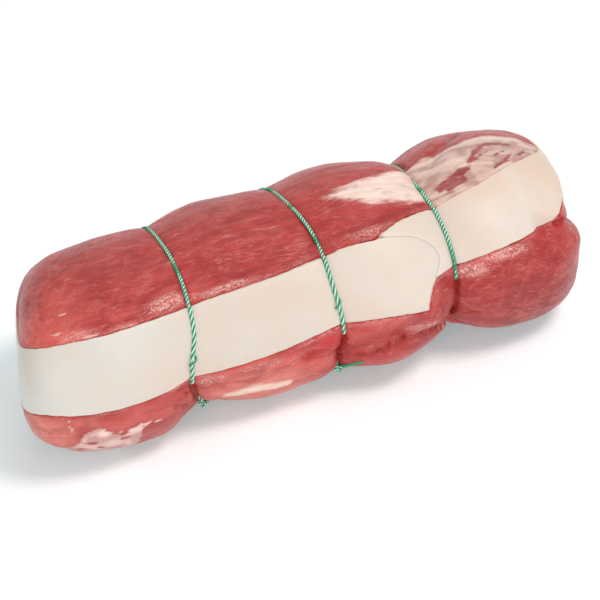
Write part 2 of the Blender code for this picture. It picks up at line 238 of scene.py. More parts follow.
def relief(station, angle):
    """The height of all swellings and folds."""
    height = 0.0
    for place, turn, half_length, half_angle, rise in LOBES:
        height = height + rise * bump(station, angle, place, turn, half_length, half_angle)
    for *line, depth, half_width in FOLDS:
        away = line_distance(station, angle, *line)
        height = height - depth * np.exp(-(away / half_width) ** 2)
    return height

print(len(LOBES), "swellings and", len(FOLDS), "folds")

# %% [markdown]
# Now the log's surface. Each loop of twine squeezes the meat, most at the lower front. The
# underside is pressed flat by the meat's own weight. Directions from the middle of the log stand
# in for longitude and latitude, so the same rule also covers the ends without a seam.

# %% The log's surface
def wander(name, angle):
    return smooth_curve(WANDER[name], np.degrees(turn_between(angle, 0.0)))

def squeeze(station, angle):
    share = 0.5 * (1 + np.sin(angle + math.radians(SQUEEZE_TURN)))
    total = 0.0
    for name, place, top, front, _, _ in TIES:
        away = np.hypot(station - place - wander(name, angle), SQUEEZE_ROUND) - SQUEEZE_ROUND
        reach = np.clip(1 - away / SQUEEZE_REACH, 0, None)
        total = total + (front + (top - front) * share) * reach ** SQUEEZE_POWER
    return total

def lean(station, angle):
    rows = [(-HALF_LENGTH, *LEFT_END_LEAN)]
    rows += [(place, front, top) for _, place, _, _, front, top in TIES]
    rows += [(HALF_LENGTH, *RIGHT_END_LEAN)]
    return smooth_curve(rows, station, 1) * np.cos(angle) + smooth_curve(rows, station, 2) * np.sin(angle)

def end_dent(station, angle):
    depth = 0.0
    for turn, half_angle, dent in END_DENTS:
        away = turn_between(angle, math.radians(turn)) / math.radians(half_angle)
        depth = depth + dent * np.exp(-(away ** 2))
    return depth * ramp(station, END_DENT_FROM, HALF_LENGTH)

def surface(station, fullness, angle):
    half_height = smooth_curve(SECTIONS, station, 1)
    half_width = half_height * WIDTH_TO_HEIGHT
    across = np.abs(np.cos(angle) / half_width) ** SECTION_POWER
    upward = np.abs(np.sin(angle) / half_height) ** SECTION_POWER
    radius = (across + upward) ** (-1 / SECTION_POWER)
    radius = fullness * (radius - squeeze(station, angle) + relief(station, angle))
    x = station + fullness * (lean(station, angle) - end_dent(station, angle))
    y = smooth_curve(SECTIONS, station, 2) - radius * np.cos(angle)
    z = half_height - SINK + radius * np.sin(angle)
    middle_x, middle_y = BOX_MIDDLE
    return np.stack([x - middle_x, y - middle_y, np.maximum(z, 0)], axis=-1)

def end_power(x):
    return np.where(x < 0, LEFT_END_POWER, RIGHT_END_POWER)

def station_of(direction):
    """Station, fullness and angle for directions from the middle of the log."""
    along = direction[..., 0]
    around = np.hypot(direction[..., 1], direction[..., 2])
    power = end_power(along)
    scale = (np.abs(along) ** power + around ** power) ** (-1 / power)
    angle = np.arctan2(direction[..., 2], -direction[..., 1])
    return along * scale * HALF_LENGTH, around * scale, angle

def direction_to(station, angle):
    power = end_power(station)
    fullness = np.maximum(1 - np.abs(station / HALF_LENGTH) ** power, 0) ** (1 / power)
    along = station / HALF_LENGTH
    return np.stack([along, -fullness * np.cos(angle), fullness * np.sin(angle)], axis=-1)

def compass(turn, rise):
    """The direction at a compass angle from the front and a rise angle, in degrees."""
    turn, rise = np.radians(turn), np.radians(rise)
    return np.stack([np.sin(turn) * np.cos(rise), -np.cos(turn) * np.cos(rise), np.sin(rise)], axis=-1)

def compass_of(direction):
    turn = np.degrees(np.arctan2(direction[..., 0], -direction[..., 1]))
    rise = np.degrees(np.arctan2(direction[..., 2], np.hypot(direction[..., 0], direction[..., 1])))
    return turn, rise

NORMAL_STEP = 0.002
NORMAL_ASIDE = (0.31, 0.52, 0.80)

def skin(direction):
    """The point of the log in a direction, and the outward normal there."""
    direction = direction / np.linalg.norm(direction, axis=-1, keepdims=True)
    point = surface(*station_of(direction))
    side = np.cross(direction, NORMAL_ASIDE)
    side = side / np.linalg.norm(side, axis=-1, keepdims=True)
    other = np.cross(direction, side)
    step_side = surface(*station_of(direction + NORMAL_STEP * side)) - point
    step_other = surface(*station_of(direction + NORMAL_STEP * other)) - point
    normal = np.cross(step_side, step_other)
    return point, normal / np.linalg.norm(normal, axis=-1, keepdims=True)

top_point, top_normal = skin(np.array([0.1, 0.0, 1.0]))
print("a point on top:", top_point.round(4), "normal:", top_normal.round(2))

# %% [markdown]
# The fat strips run round the log, so their edges are given by compass angle and by rise angle
# as seen from its middle. The left strip laps over the right one near the right-hand loop of
# twine and ends there in a rounded corner. One function says how deep a point lies inside a
# strip, in metres. The meat uses it to sink a bed and to swell a little along the strips' edges.

# %% Where the fat lies
# Compass angle, rise of the lower edge, rise of the upper edge
LEFT_STRIP = (
    (-166, -6, 28),
    (-140, -8, 24),
    (-115, -12, 19),
    (-90, -12, 19),
    (-70, -8, 24),
    (-50, 2, 33),
    (-35, 2, 40),
    (-15, 5, 46),
    (0, 10, 51),
    (10, 9, 52),
    (26, 1, 50),
)
RIGHT_STRIP = (
    (12, 20, 49),
    (20, 21, 53),
    (40, 24.5, 56),
    (52, 25, 54),
    (60, 27.5, 52),
    (75, 24, 50),
    (90, 14, 45),
    (112, -2, 34),
    (135, -8, 28),
    (166, -4, 32),
)
# The free end of the left strip: rise, compass angle
LEFT_STRIP_END = ((1, 16.5), (20, 19.8), (30, 24.5), (40, 25.9), (46, 24.0), (50, 19.0))
STRIP_PROUD = 0.0008
STRIP_THICK = 0.0030
LAP_PROUD = 0.0009
LAP_THICK = 0.0018
LAP_UNDER = -0.0009
LAP_START = (2, 7)
LAP_CLIMB = (-12, -3)
LAP_PAST = (-0.6, 0.5)

def edge_wobble(turn, seed):
    """A knife never cuts a dead straight edge. In degrees."""
    return 0.10 * np.sin(0.53 * turn + seed) + 0.10 * np.sin(1.7 * turn + 2.1 * seed)

def strip_edges(table, turn):
    low = smooth_curve(table, turn, 1) + edge_wobble(turn, 3)
    high = smooth_curve(table, turn, 2) + edge_wobble(turn, 5)
    return low, high

def strip_depth(table, turn, rise, radius):
    """How far inside a strip a point is, in metres. Outside it is negative."""
    low, high = strip_edges(table, turn)
    last = smooth_curve(LEFT_STRIP_END, rise, 1) if table is LEFT_STRIP else table[-1][0]
    across = np.minimum(rise - low, high - rise)
    along = np.minimum(turn - table[0][0], last - turn) * np.cos(np.radians(rise))
    return np.minimum(across, along) * np.radians(1) * radius

def fat_depth(direction, point):
    """How far inside either strip, for many points."""
    turn, rise = compass_of(direction)
    radius = np.linalg.norm(point - np.array([0, 0, SECTIONS[2][1]]), axis=-1)
    left = strip_depth(LEFT_STRIP, turn, rise, radius)
    right = strip_depth(RIGHT_STRIP, turn, rise, radius)
    return np.maximum(left, right)

print("strips start and end at", LEFT_STRIP[0][0], LEFT_STRIP[-1][0], RIGHT_STRIP[0][0], RIGHT_STRIP[-1][0])

# %% [markdown]
# The meat begins as a sphere with its poles at the two ends, made by Blender in one call. Each
# ring and spoke of the sphere is then moved to its place on the log. The rings are spread evenly
# along the log, and the spokes crowd together on the side that shows, where detail pays.

# %% A fine grid for the meat
MEAT_RINGS = 420
MEAT_SPOKES = 236
SHOWN_ANGLE = math.radians(35)
CROWDING = 0.42
RING_CROWDING = 1.2
RING_REACH = 0.006

def mesh_from(bm, name):
    """Turn a bmesh into a mesh, and read where its points are."""
    mesh = bpy.data.meshes.new(name)
    bm.to_mesh(mesh)
    bm.free()
    spots = np.empty(3 * len(mesh.vertices))
    mesh.vertices.foreach_get("co", spots)
    return mesh, spots.reshape(-1, 3)

def fine_sphere(rings, spokes):
    """A sphere as a mesh, with the share along the poles and the spoke angle of each point."""
    bm = bmesh.new()
    bmesh.ops.create_uvsphere(bm, u_segments=spokes, v_segments=rings, radius=1)
    bmesh.ops.reverse_faces(bm, faces=bm.faces[:])
    mesh, spots = mesh_from(bm, "meat_flesh")
    ring = np.arccos(np.clip(spots[:, 2], -1, 1)) / math.pi
    spoke = np.arctan2(spots[:, 1], spots[:, 0])
    return mesh, ring, spoke

def ring_polar(share):
    """Polar angles of the rings, and how far along the outline each one is."""
    polar = np.linspace(0, math.pi, 4001)
    direction = np.stack([-np.cos(polar), np.zeros_like(polar), np.sin(polar)], axis=-1)
    station, fullness, _ = station_of(direction)
    steps = np.hypot(np.diff(station), MEAN_RADIUS * np.diff(fullness))
    crowd = 1 + sum(RING_CROWDING * np.exp(-((station[1:] - tie[1]) / RING_REACH) ** 2) for tie in TIES)
    dense = np.concatenate([[0], np.cumsum(steps * crowd)])
    length = np.concatenate([[0], np.cumsum(steps)])
    at = np.interp(share * dense[-1], dense, polar)
    return at, np.interp(at, polar, length) - length[-1] / 2

def follow_twine(direction):
    """Move directions along the roast as the nearest loop of twine wanders."""
    station, _, angle = station_of(direction)
    shift = 0.0
    for name, place, *_ in TIES:
        shift = shift + wander(name, angle) * np.exp(-((station - place) / WANDER_REACH) ** 2)
    return direction_to(station + shift, angle)

meat_mesh, ring_share, spoke = fine_sphere(MEAT_RINGS, MEAT_SPOKES)
polar, along_meat = ring_polar(ring_share)
spoke_angle = spoke - CROWDING * np.sin(spoke - SHOWN_ANGLE)
around = np.sin(polar)
sphere_front = -around * np.cos(spoke_angle)
sphere_up = around * np.sin(spoke_angle)
meat_direction = follow_twine(np.stack([-np.cos(polar), sphere_front, sphere_up], axis=-1))
meat_point, meat_normal = skin(meat_direction)
station, fullness, angle = station_of(meat_direction)
grain_radius = MEAN_RADIUS * fullness
grain = np.stack([along_meat, grain_radius * np.cos(angle), grain_radius * np.sin(angle)], axis=-1)
sway = 0.0016 * noise_at(grain, 0.018, 12) + 0.0008 * noise_at(grain, 0.006, 13)
grain[:, 1] += sway * -np.sin(angle)
grain[:, 2] += sway * np.cos(angle)
print(len(meat_point), "points on the meat")

# %% [markdown]
# Muscle fibres run along the roast. Noise that is stretched along X gives long soft ridges, and
# finer stretched noise gives the strands between them. Near each loop of twine the meat gathers
# into small pleats, and below the fat the twine bites into a narrow crease that closes over it.

# %% Fibres, pleats and creases
FIBRE_RIDGES = 0.00020
FIBRE_STRANDS = 0.00010
LUMPS = 0.0005
PLEAT_HEIGHT = 0.0007
PLEAT_REACH = 0.009
CREASE_DEPTH = 0.0020
CREASE_HALF_WIDTH = 0.0009
CREASE_LIPS = 0.0008
CREASE_LIPS_AT = 0.0042
CREASE_LIPS_WIDTH = 0.0026
TWINE_DENT = 0.0006
TWINE_DENT_WIDTH = 0.0014
EDGE_LIP = 0.0006
EDGE_LIP_AT = 0.0016
EDGE_LIP_WIDTH = 0.0026
BED_DEPTH = 0.0016
BED_WALL = 0.0007
# Relief fades out below this height, where the meat's weight presses it flat
PRESSED_BELOW = 0.006
# The meat has closed over each loop between these two angles
CLOSED = {"twine_left": (-1, -33), "twine_middle": (4, -31), "twine_right": (17, -70)}

def closed_over(name, angle):
    """1 where the meat has closed over a loop of twine."""
    turn = np.degrees(turn_between(angle, 0.0))
    upper, lower = CLOSED[name]
    return ramp(upper - turn, 0, 5) * ramp(turn - lower, 0, 5)

ridges = noise_at(grain, (0.050, 0.005, 0.005), 1)
strands = noise_at(grain, (0.024, 0.0020, 0.0020), 2)
lumps = noise_at(grain, 0.020, 3) + 0.5 * noise_at(grain, 0.009, 4)
pleats = noise_at(grain, (0.030, 0.0042, 0.0042), 5)
fine = FIBRE_RIDGES * ridges + FIBRE_STRANDS * strands + LUMPS * lumps
lower_side = ramp(-np.sin(angle - math.radians(8)), -0.15, 0.35)
for name, place, *_ in TIES:
    away = np.abs(station - place - wander(name, angle))
    closed = closed_over(name, angle)
    fine = fine + PLEAT_HEIGHT * pleats * np.exp(-(away / PLEAT_REACH) ** 2) * (0.3 + 0.7 * lower_side)
    fine = fine - closed * CREASE_DEPTH * np.exp(-(away / CREASE_HALF_WIDTH) ** 2)
    fine = fine + closed * CREASE_LIPS * np.exp(-((away - CREASE_LIPS_AT) / CREASE_LIPS_WIDTH) ** 2)
    fine = fine - TWINE_DENT * np.exp(-(away / TWINE_DENT_WIDTH) ** 2)

# %% [markdown]
# Where two muscles meet, or where the roll closes on itself, the surface has a sharp crease. The
# list below holds the creases that can be seen, from one place to another. Each groove, and the
# meat closed over each loop of twine, is also painted darker red: painted shade.

# %% Sharp creases
# From station and angle to station and angle, depth, half width
CREASES = (
    (0.001, -18.7, 0.0065, -19.9, 0.0012, 0.0011),
    (0.0065, -19.9, 0.0138, -16.1, 0.0012, 0.0010),
    (0.0138, -16.1, 0.0195, -12.7, 0.0013, 0.0009),
    (0.0195, -12.7, 0.027, -11.1, 0.0013, 0.0009),
    (0.027, -11.1, 0.0368, -13.1, 0.0013, 0.0009),
    (0.0368, -13.1, 0.0465, -18, 0.0013, 0.0010),
    (0.0465, -18, 0.0607, -37, 0.0013, 0.0012),
    (0.0557, -11.4, 0.067, -13.8, 0.0010, 0.0010),
    (-0.018, -4, -0.004, -12, 0.0008, 0.0012),
    (0.113, 33, 0.1245, 31, 0.0014, 0.0013),
    (0.116, 39, 0.119, 33, 0.0008, 0.0010),
    (-0.113, -50, -0.105, -36, 0.0020, 0.0013),
    (-0.1035, 1, -0.1075, -18, 0.0006, 0.0014),
    (-0.0690, -2, -0.0650, -8, 0.0009, 0.0008),
    (-0.0705, -12, -0.0660, -17, 0.0009, 0.0009),
    (-0.0560, -3, -0.0520, -12, 0.0006, 0.0010),
    (0.0560, 129, 0.0575, 114, 0.0016, 0.0014),
    (0.064, 110, 0.079, 124.4, 0.0005, 0.0012),
    (0.079, 124.4, 0.089, 134, 0.0006, 0.0014),
    (-0.109, 119, -0.105, 106, 0.0003, 0.0010),
    (-0.105, 106, -0.092, 99.4, 0.0004, 0.0011),
    (-0.092, 99.4, -0.066, 95, 0.0004, 0.0011),
    (-0.055, 100, -0.030, 97, 0.0003, 0.0012),
    (-0.030, 97, -0.004, 99, 0.0003, 0.0012),
    (-0.050, 80, -0.006, 78, 0.0003, 0.0014),
)
# Painted shade: a crease this deep or deeper is painted fully dark red along its groove
DARK_CREASE = 0.0016
crease_shade = np.zeros_like(station)
for *line, depth, half_width in CREASES:
    away = line_distance(station, angle, *line)
    groove = np.exp(-(away / half_width) ** 2)
    fine = fine - depth * groove
    crease_shade = np.maximum(crease_shade, min(1, depth / DARK_CREASE) * groove)
for name, place, *_ in TIES:
    away = np.abs(station - place - wander(name, angle))
    shade = closed_over(name, angle) * np.exp(-(away / (0.8 * CREASE_HALF_WIDTH)) ** 2)
    crease_shade = np.maximum(crease_shade, shade)

inside_fat = fat_depth(meat_direction, meat_point)
bed = ramp(inside_fat, -0.2 * BED_WALL, BED_WALL)
lip = np.exp(-((inside_fat + EDGE_LIP_AT) / EDGE_LIP_WIDTH) ** 2) * (1 - bed)
fine = fine * (1 - 0.7 * bed) + EDGE_LIP * lip - BED_DEPTH * bed
fine = fine * ramp(meat_point[:, 2], 0.0, PRESSED_BELOW)
print("relief from", round(1000 * fine.min(), 2), "to", round(1000 * fine.max(), 2), "mm")

# %% [markdown]
# The relief is added to the log's surface along its normals. No point may lie under the floor.
# Each finished piece rides on the roast's own frame, and the solids that it replaces are hidden.

# %% Put the meat in place
FLOOR_GAP = 0.00002

def place_points(mesh, points):
    """Write the points to a mesh, none under the floor, and shade it smooth."""
    points = points.copy()
    points[:, 2] = np.maximum(points[:, 2], FLOOR_GAP)
    mesh.vertices.foreach_set("co", points.astype(np.float32).ravel())
    mesh.update()
    mesh.shade_smooth()

def add_object(name, mesh, nodes=()):
    """An object that rides on the roast and stands for the solids that it replaces."""
    thing = bpy.data.objects.new(name, mesh)
    bpy.context.scene.collection.objects.link(thing)
    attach(thing, "root")
    if nodes:
        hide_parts(*nodes)
    return thing

place_points(meat_mesh, meat_point + fine[:, None] * meat_normal)
meat = add_object("meat_flesh", meat_mesh, ["meat"])
print("meat_flesh has", len(meat_mesh.polygons), "faces")

# %% [markdown]
# Colour on raw pork comes in zones: rosy red lean, darker red where it is thick and wet, salmon
# pink on the underside, and pale fat and skin that fade softly into the lean. Some zones also hold
# painted light: a paler rose on the tops of the middle and right lobes is partly painted sheen, and
# the dark reds on the right lobe's underside are partly painted shade. Each zone is a mask from
# 0 to 1, made of soft bumps and lines with noise on their edges. The zones are mixed into one
# colour for each point, and the mesh keeps it as a colour attribute.

# %% Colours of the meat
def srgb(red, green, blue):
    """A colour as a paint chip gives it, 0 to 255, turned into light values."""
    chip = np.array([red, green, blue]) / 255
    return np.where(chip <= 0.04045, chip / 12.92, ((chip + 0.055) / 1.055) ** 2.4)

LEAN_RED = srgb(182, 50, 46)
DEEP_RED_AND_SHADE = srgb(158, 26, 24)
BLOOD_RED = srgb(204, 18, 20)
ROSE_AND_SHEEN = srgb(178, 66, 62)
SALMON = srgb(228, 128, 112)
PINK = srgb(218, 94, 84)
PALE_FAT = srgb(252, 224, 212)
GREY_FAT = srgb(190, 146, 136)
DULL_CREAM = srgb(232, 206, 190)
CREAM = srgb(250, 224, 208)
SILVER = srgb(222, 154, 146)
LAVENDER = srgb(202, 150, 144)
WINE_RED_AND_SHADE = srgb(150, 6, 6)
PAINTED_CREASE_SHADE = srgb(138, 26, 26)
ISLAND_RED = srgb(160, 80, 82)
ORANGE = srgb(226, 150, 110)
STREAK_CREAM = srgb(240, 212, 196)

# Station, angle, half length, half angle, strength
DEEP_RED_AND_SHADE_ZONES = (
    (0.030, 60, 0.026, 8, 0.9),
    (-0.006, 56, 0.026, 8, 0.6),
    (0.074, 12, 0.014, 10, 0.7),
    (-0.035, 60, 0.030, 12, 0.35),
    (-0.100, 66, 0.020, 14, 0.35),
    (0.048, 6, 0.007, 16, 0.6),
    (0.095, 2, 0.020, 20, 0.4),
    # Painted shade as well as deeper red: this zone darkens the right lobe's underside
    (0.095, -14, 0.034, 40, 0.95),
)
BLOOD_ZONES = (
    (0.117, 34, 0.005, 7, 1.0),
    (-0.013, -2, 0.009, 9, 1.0),
    (-0.021, 1, 0.008, 5, 1.0),
    (-0.105, -12, 0.003, 7, 0.4),
)
WINE_RED_AND_SHADE_ZONES = (
    # Painted shade as well as wine red: this zone darkens the right lobe's underside
    (0.100, -20, 0.030, 40, 0.85),
    (0.062, 4, 0.010, 14, 0.5),
)
# The first two zones, over the tops of the middle and right lobes, are partly painted sheen: a paler rose
# where light grazes the top
ROSE_AND_SHEEN_ZONES = (
    (0.025, 118, 0.040, 16, 0.9),
    (0.080, 126, 0.035, 16, 0.9),
    (-0.095, 106, 0.028, 22, 0.5),
    (-0.030, 110, 0.030, 18, 0.5),
    (0.020, -14, 0.024, 14, 0.3),
    (-0.090, -28, 0.026, 26, 0.8),
)
SALMON_ZONES = (
    (-0.116, -14, 0.012, 16, 1.0),
    (-0.122, -30, 0.008, 26, 1.0),
    (-0.104, -3, 0.006, 5, 0.6),
    (-0.040, -16, 0.024, 13, 0.9),
    (-0.035, -40, 0.030, 25, 0.8),
    (-0.012, -14, 0.008, 8, 0.5),
)
PINK_ZONES = (
    (-0.085, -8, 0.018, 9, 0.5),
    (-0.040, 2, 0.020, 7, 0.6),
    (0.015, 2, 0.014, 8, 0.4),
    (-0.114, 55, 0.016, 38, 1.0),
    (-0.122, 15, 0.006, 30, 0.8),
)

def zone_mask(zones, station, angle, ragged):
    """The strongest of several soft zones, with ragged edges."""
    mask = np.zeros_like(station)
    for place, turn, half_length, half_angle, strength in zones:
        soft = bump(station, angle, place, turn, half_length, half_angle)
        mask = np.maximum(mask, strength * ramp(soft + 0.22 * ragged, 0.12, 0.85))
    return mask

def line_mask(lines, station, angle, ragged, ragged_width):
    """The strongest of several soft lines, each with its own half width and strength."""
    mask = np.zeros_like(station)
    for *line, half_width, strength in lines:
        away = line_distance(station, angle, *line)
        away = np.maximum(away + ragged_width * ragged, 0)
        mask = np.maximum(mask, strength * np.exp(-(away / half_width) ** 2))
    return mask

def mixed(base, other, mask):
    return base + (other - base) * mask[:, None]

ragged = noise_at(grain, (0.018, 0.006, 0.006), 6)
colour = np.tile(LEAN_RED, (len(station), 1))
# Partly painted sheen: the paler rose on the tops of the middle and right lobes
colour = mixed(colour, ROSE_AND_SHEEN, zone_mask(ROSE_AND_SHEEN_ZONES, station, angle, ragged))
colour = mixed(colour, PINK, zone_mask(PINK_ZONES, station, angle, ragged))
colour = mixed(colour, SALMON, zone_mask(SALMON_ZONES, station, angle, ragged))
# Partly painted shade: the deep and wine reds also darken the right lobe's underside
colour = mixed(colour, DEEP_RED_AND_SHADE, zone_mask(DEEP_RED_AND_SHADE_ZONES, station, angle, ragged))
colour = mixed(colour, WINE_RED_AND_SHADE, zone_mask(WINE_RED_AND_SHADE_ZONES, station, angle, ragged))
colour = mixed(colour, BLOOD_RED, zone_mask(BLOOD_ZONES, station, angle, ragged))
print("mean meat colour:", colour.mean(axis=0).round(3))

# %% [markdown]
# The two large pale patches on top are fat that stayed on the muscle. Their outlines are curves
# of station, like the outline of a leaf, and they fade into the lean. Inside the right-hand one,
# red meat shows through in torn islands. A third, dull patch is thin skin at the lower left.

# %% Pale patches
# Station, lower angle, upper angle
MIDDLE_PATCH = (
    (0.008, 92, 95),
    (0.018, 86.5, 96),
    (0.032, 76.5, 99),
    (0.043, 74.5, 103),
    (0.0555, 72, 109),
)
RIGHT_PATCH = (
    (0.0560, 66, 109),
    (0.062, 64, 112.5),
    (0.073, 62, 113),
    (0.083, 64, 110.5),
    (0.093, 66, 113.5),
    (0.105, 76, 114),
    (0.1145, 88, 113),
    (0.1200, 96, 111.5),
)
LOW_SKIN = (
    (-0.115, -62, -42),
    (-0.107, -62, -22),
    (-0.104, -62, -14),
    (-0.097, -62, -10),
    (-0.091, -60, -20),
    (-0.086, -38, -17),
    (-0.082, -24, -17),
)
CREAM_LINES = (
    (0.015, 93, 0.021, 89, 0.0016, 0.8),
    (0.021, 89, 0.035, 79.5, 0.0026, 1.0),
    (0.035, 79.5, 0.050, 75, 0.0026, 0.9),
    (0.034, 97, 0.052, 103, 0.0018, 0.7),
    (0.060, 109, 0.073, 110, 0.0014, 0.9),
    (0.073, 110, 0.083, 107.5, 0.0013, 1.0),
    (0.083, 107.5, 0.093, 110.5, 0.0013, 1.0),
    (0.093, 110.5, 0.112, 110.5, 0.0014, 1.0),
    (0.061, 98, 0.078, 92, 0.0030, 0.7),
    (0.076, 88, 0.090, 84, 0.0014, 0.8),
    (0.086, 74, 0.100, 80, 0.0008, 0.8),
    (0.112, 104, 0.118, 104, 0.0016, 0.8),
)
RED_LINES = (
    (0.0635, 76.5, 0.0780, 84.5, 0.0026, 1.0),
    (0.0660, 73, 0.0740, 77, 0.0020, 0.9),
    (0.0800, 86, 0.0865, 97, 0.0014, 1.0),
    (0.0865, 97, 0.0940, 103, 0.0012, 0.9),
    (0.0940, 103, 0.1050, 102.5, 0.0011, 0.9),
    (0.0840, 90, 0.0920, 94.5, 0.0008, 0.7),
    (0.0900, 77, 0.0990, 84.5, 0.0012, 0.9),
    (0.0990, 84.5, 0.1040, 92, 0.0010, 0.9),
    (0.0950, 91, 0.1010, 95, 0.0008, 0.8),
    (0.1060, 88, 0.1100, 93, 0.0010, 0.7),
    (0.0600, 70.5, 0.0680, 70, 0.0008, 0.5),
)
ORANGE_SPOTS = ((0.1095, 99.5, 0.0018, 2.0, 0.9),)

def patch_mask(table, soft_degrees, start, end, station, angle, ragged):
    """1 inside the patch. start and end are stretches of station over which it fades."""
    turn = np.degrees(turn_between(angle, math.pi / 2)) + 90
    low = smooth_curve(table, station, 1)
    high = smooth_curve(table, station, 2)
    inside = np.minimum(turn - low, high - turn) + 2.5 * ragged
    return ramp(inside, -soft_degrees, soft_degrees) * ramp(station, *start) * (1 - ramp(station, *end))

mottle = noise_at(grain, (0.007, 0.0035, 0.0035), 7)
small_mottle = noise_at(grain, (0.0028, 0.0018, 0.0018), 11)
# Half width of each patch's soft edge in degrees, and where it fades in and out
middle_fade = (7, (0.002, 0.034), (0.0555, 0.0565))
right_fade = (2.0, (0.0555, 0.0570), (0.118, 0.122))
low_fade = (2.0, (-0.116, -0.112), (-0.086, -0.081))
middle_patch = patch_mask(MIDDLE_PATCH, *middle_fade, station, angle, ragged + mottle)
right_patch = patch_mask(RIGHT_PATCH, *right_fade, station, angle, mottle)
low_skin = patch_mask(LOW_SKIN, *low_fade, station, angle, mottle)
skin_colour = np.tile(GREY_FAT, (len(station), 1))
patchy = mottle + 0.5 * small_mottle
skin_colour = mixed(skin_colour, PALE_FAT, ramp(middle_patch, 0.1, 0.4) * ramp(patchy, -1.0, -0.1))
skin_colour = mixed(skin_colour, DULL_CREAM, ramp(right_patch, 0.1, 0.4) * ramp(patchy, -0.4, 0.6) * 0.75)
skin_colour = mixed(skin_colour, LAVENDER, ramp(low_skin, 0.1, 0.4))
cream = line_mask(CREAM_LINES, station, angle, mottle, 0.0010)
skin_colour = mixed(skin_colour, CREAM, 0.85 * cream)
skin_colour = mixed(skin_colour, ORANGE, zone_mask(ORANGE_SPOTS, station, angle, small_mottle))
islands = line_mask(RED_LINES, station, angle, mottle + small_mottle, 0.0008)
islands = ramp(islands, 0.1, 0.8)
colour = mixed(colour, ISLAND_RED, ramp(right_patch, 0.2, 0.8))
skin_mask = np.maximum(1.1 * middle_patch, right_patch * (1 - islands))
skin_mask = np.maximum(skin_mask, ramp(low_skin * ramp(mottle, -1.0, 0.5), 0.3, 0.7))
skin_mask = np.maximum(skin_mask, cream * ramp(station, 0.012, 0.020))
print("pale patches cover", int((middle_patch + right_patch).sum()), "points")

# %% [markdown]
# Thin silvery skin clings to the muscle in long threads, and small flecks of fat sit along the
# lower left edge and next to the fat strip. A thread is a line on the surface with a soft width.

# %% Threads of silver skin and flecks of fat
# From station and angle to station and angle, half width, strength
THREADS = (
    (-0.1093, 119, -0.1052, 106, 0.0006, 0.7),
    (-0.1052, 106, -0.0918, 99.4, 0.0006, 0.7),
    (-0.0918, 99.4, -0.0807, 97.6, 0.0007, 0.5),
    (-0.0807, 97.6, -0.0660, 95, 0.0007, 0.5),
    (-0.0840, 111, -0.0770, 104, 0.0006, 0.8),
    (-0.0770, 104, -0.0670, 101, 0.0006, 0.5),
    (-0.1199, 101, -0.1102, 103, 0.0006, 0.5),
    (-0.1174, 77, -0.1160, 96, 0.0006, 0.6),
    (-0.1195, 84, -0.1160, 62, 0.0006, 0.5),
    (-0.1210, 70, -0.1170, 50, 0.0006, 0.4),
    (-0.1041, 88, -0.1066, 80, 0.0006, 0.5),
    (-0.1120, 76, -0.1020, 72, 0.0005, 0.4),
    (-0.0590, 104, -0.0300, 102, 0.0006, 0.35),
    (-0.0560, 93, -0.0100, 90, 0.0006, 0.35),
    (-0.0500, 80, -0.0120, 82, 0.0006, 0.3),
    (-0.0300, 72, -0.0080, 76, 0.0006, 0.3),
    (0.0060, 84, 0.0260, 78, 0.0005, 0.3),
)
SKIN_RIMS = (
    (-0.1118, -46, -0.1040, -15, 0.0010, 0.8),
    (-0.1040, -15, -0.0970, -10, 0.0008, 0.9),
    (-0.0970, -10, -0.0910, -16, 0.0007, 0.7),
    (-0.0900, -20, -0.0840, -15, 0.0013, 1.0),
    (-0.0880, -40, -0.0895, -21, 0.0012, 0.8),
    (-0.0840, -15, -0.0763, -17, 0.0007, 0.9),
    (-0.1095, 1, -0.1085, -9, 0.0012, 0.7),
    (-0.1095, 0, -0.1020, -1, 0.0010, 0.5),
    (0.0460, -19, 0.0620, -42, 0.0010, 0.6),
)
PALE_STREAK = (
    (-0.0490, -20.5, -0.0374, -18.5, 0.0026, 1.0),
    (-0.0374, -18.5, -0.0258, -21.5, 0.0022, 1.0),
)
# Station, angle, half length, half angle, strength
FLECKS = (
    (-0.0865, -17, 0.0034, 3.2, 1.0),
    (-0.0820, -15.5, 0.0022, 1.4, 0.9),
    (-0.0975, -14, 0.0030, 3, 0.8),
    (-0.0940, -24, 0.0060, 4, 0.5),
    (-0.1030, -27, 0.0050, 6, 0.5),
    (-0.1105, 53.2, 0.0030, 1.6, 0.55),
    (-0.1046, 51.9, 0.0022, 1.0, 0.5),
    (-0.0985, 46.6, 0.0050, 0.9, 0.6),
    (-0.1070, 64.5, 0.0022, 1.0, 0.6),
    (0.0590, 20, 0.0010, 1.0, 0.6),
)
threads = line_mask(THREADS, station, angle, ragged, 0.0004)
rims = line_mask(SKIN_RIMS, station, angle, mottle, 0.0010) * ramp(mottle + small_mottle, -0.5, 0.4)
streak = line_mask(PALE_STREAK, station, angle, ragged, 0.0010)
flecks = zone_mask(FLECKS, station, angle, small_mottle)
colour = mixed(colour, SILVER, 0.45 * threads)
skin_colour = mixed(skin_colour, PALE_FAT, np.maximum(rims, flecks))
skin_colour = mixed(skin_colour, STREAK_CREAM, ramp(streak, 0.1, 0.5))
skin_mask = np.maximum(skin_mask, ramp(np.maximum(rims, flecks), 0.25, 0.65))
skin_mask = np.maximum(skin_mask, 0.9 * streak)
# Painted shade in the creases and where the meat closes over the twine
colour = mixed(colour, PAINTED_CREASE_SHADE, 0.38 * crease_shade)

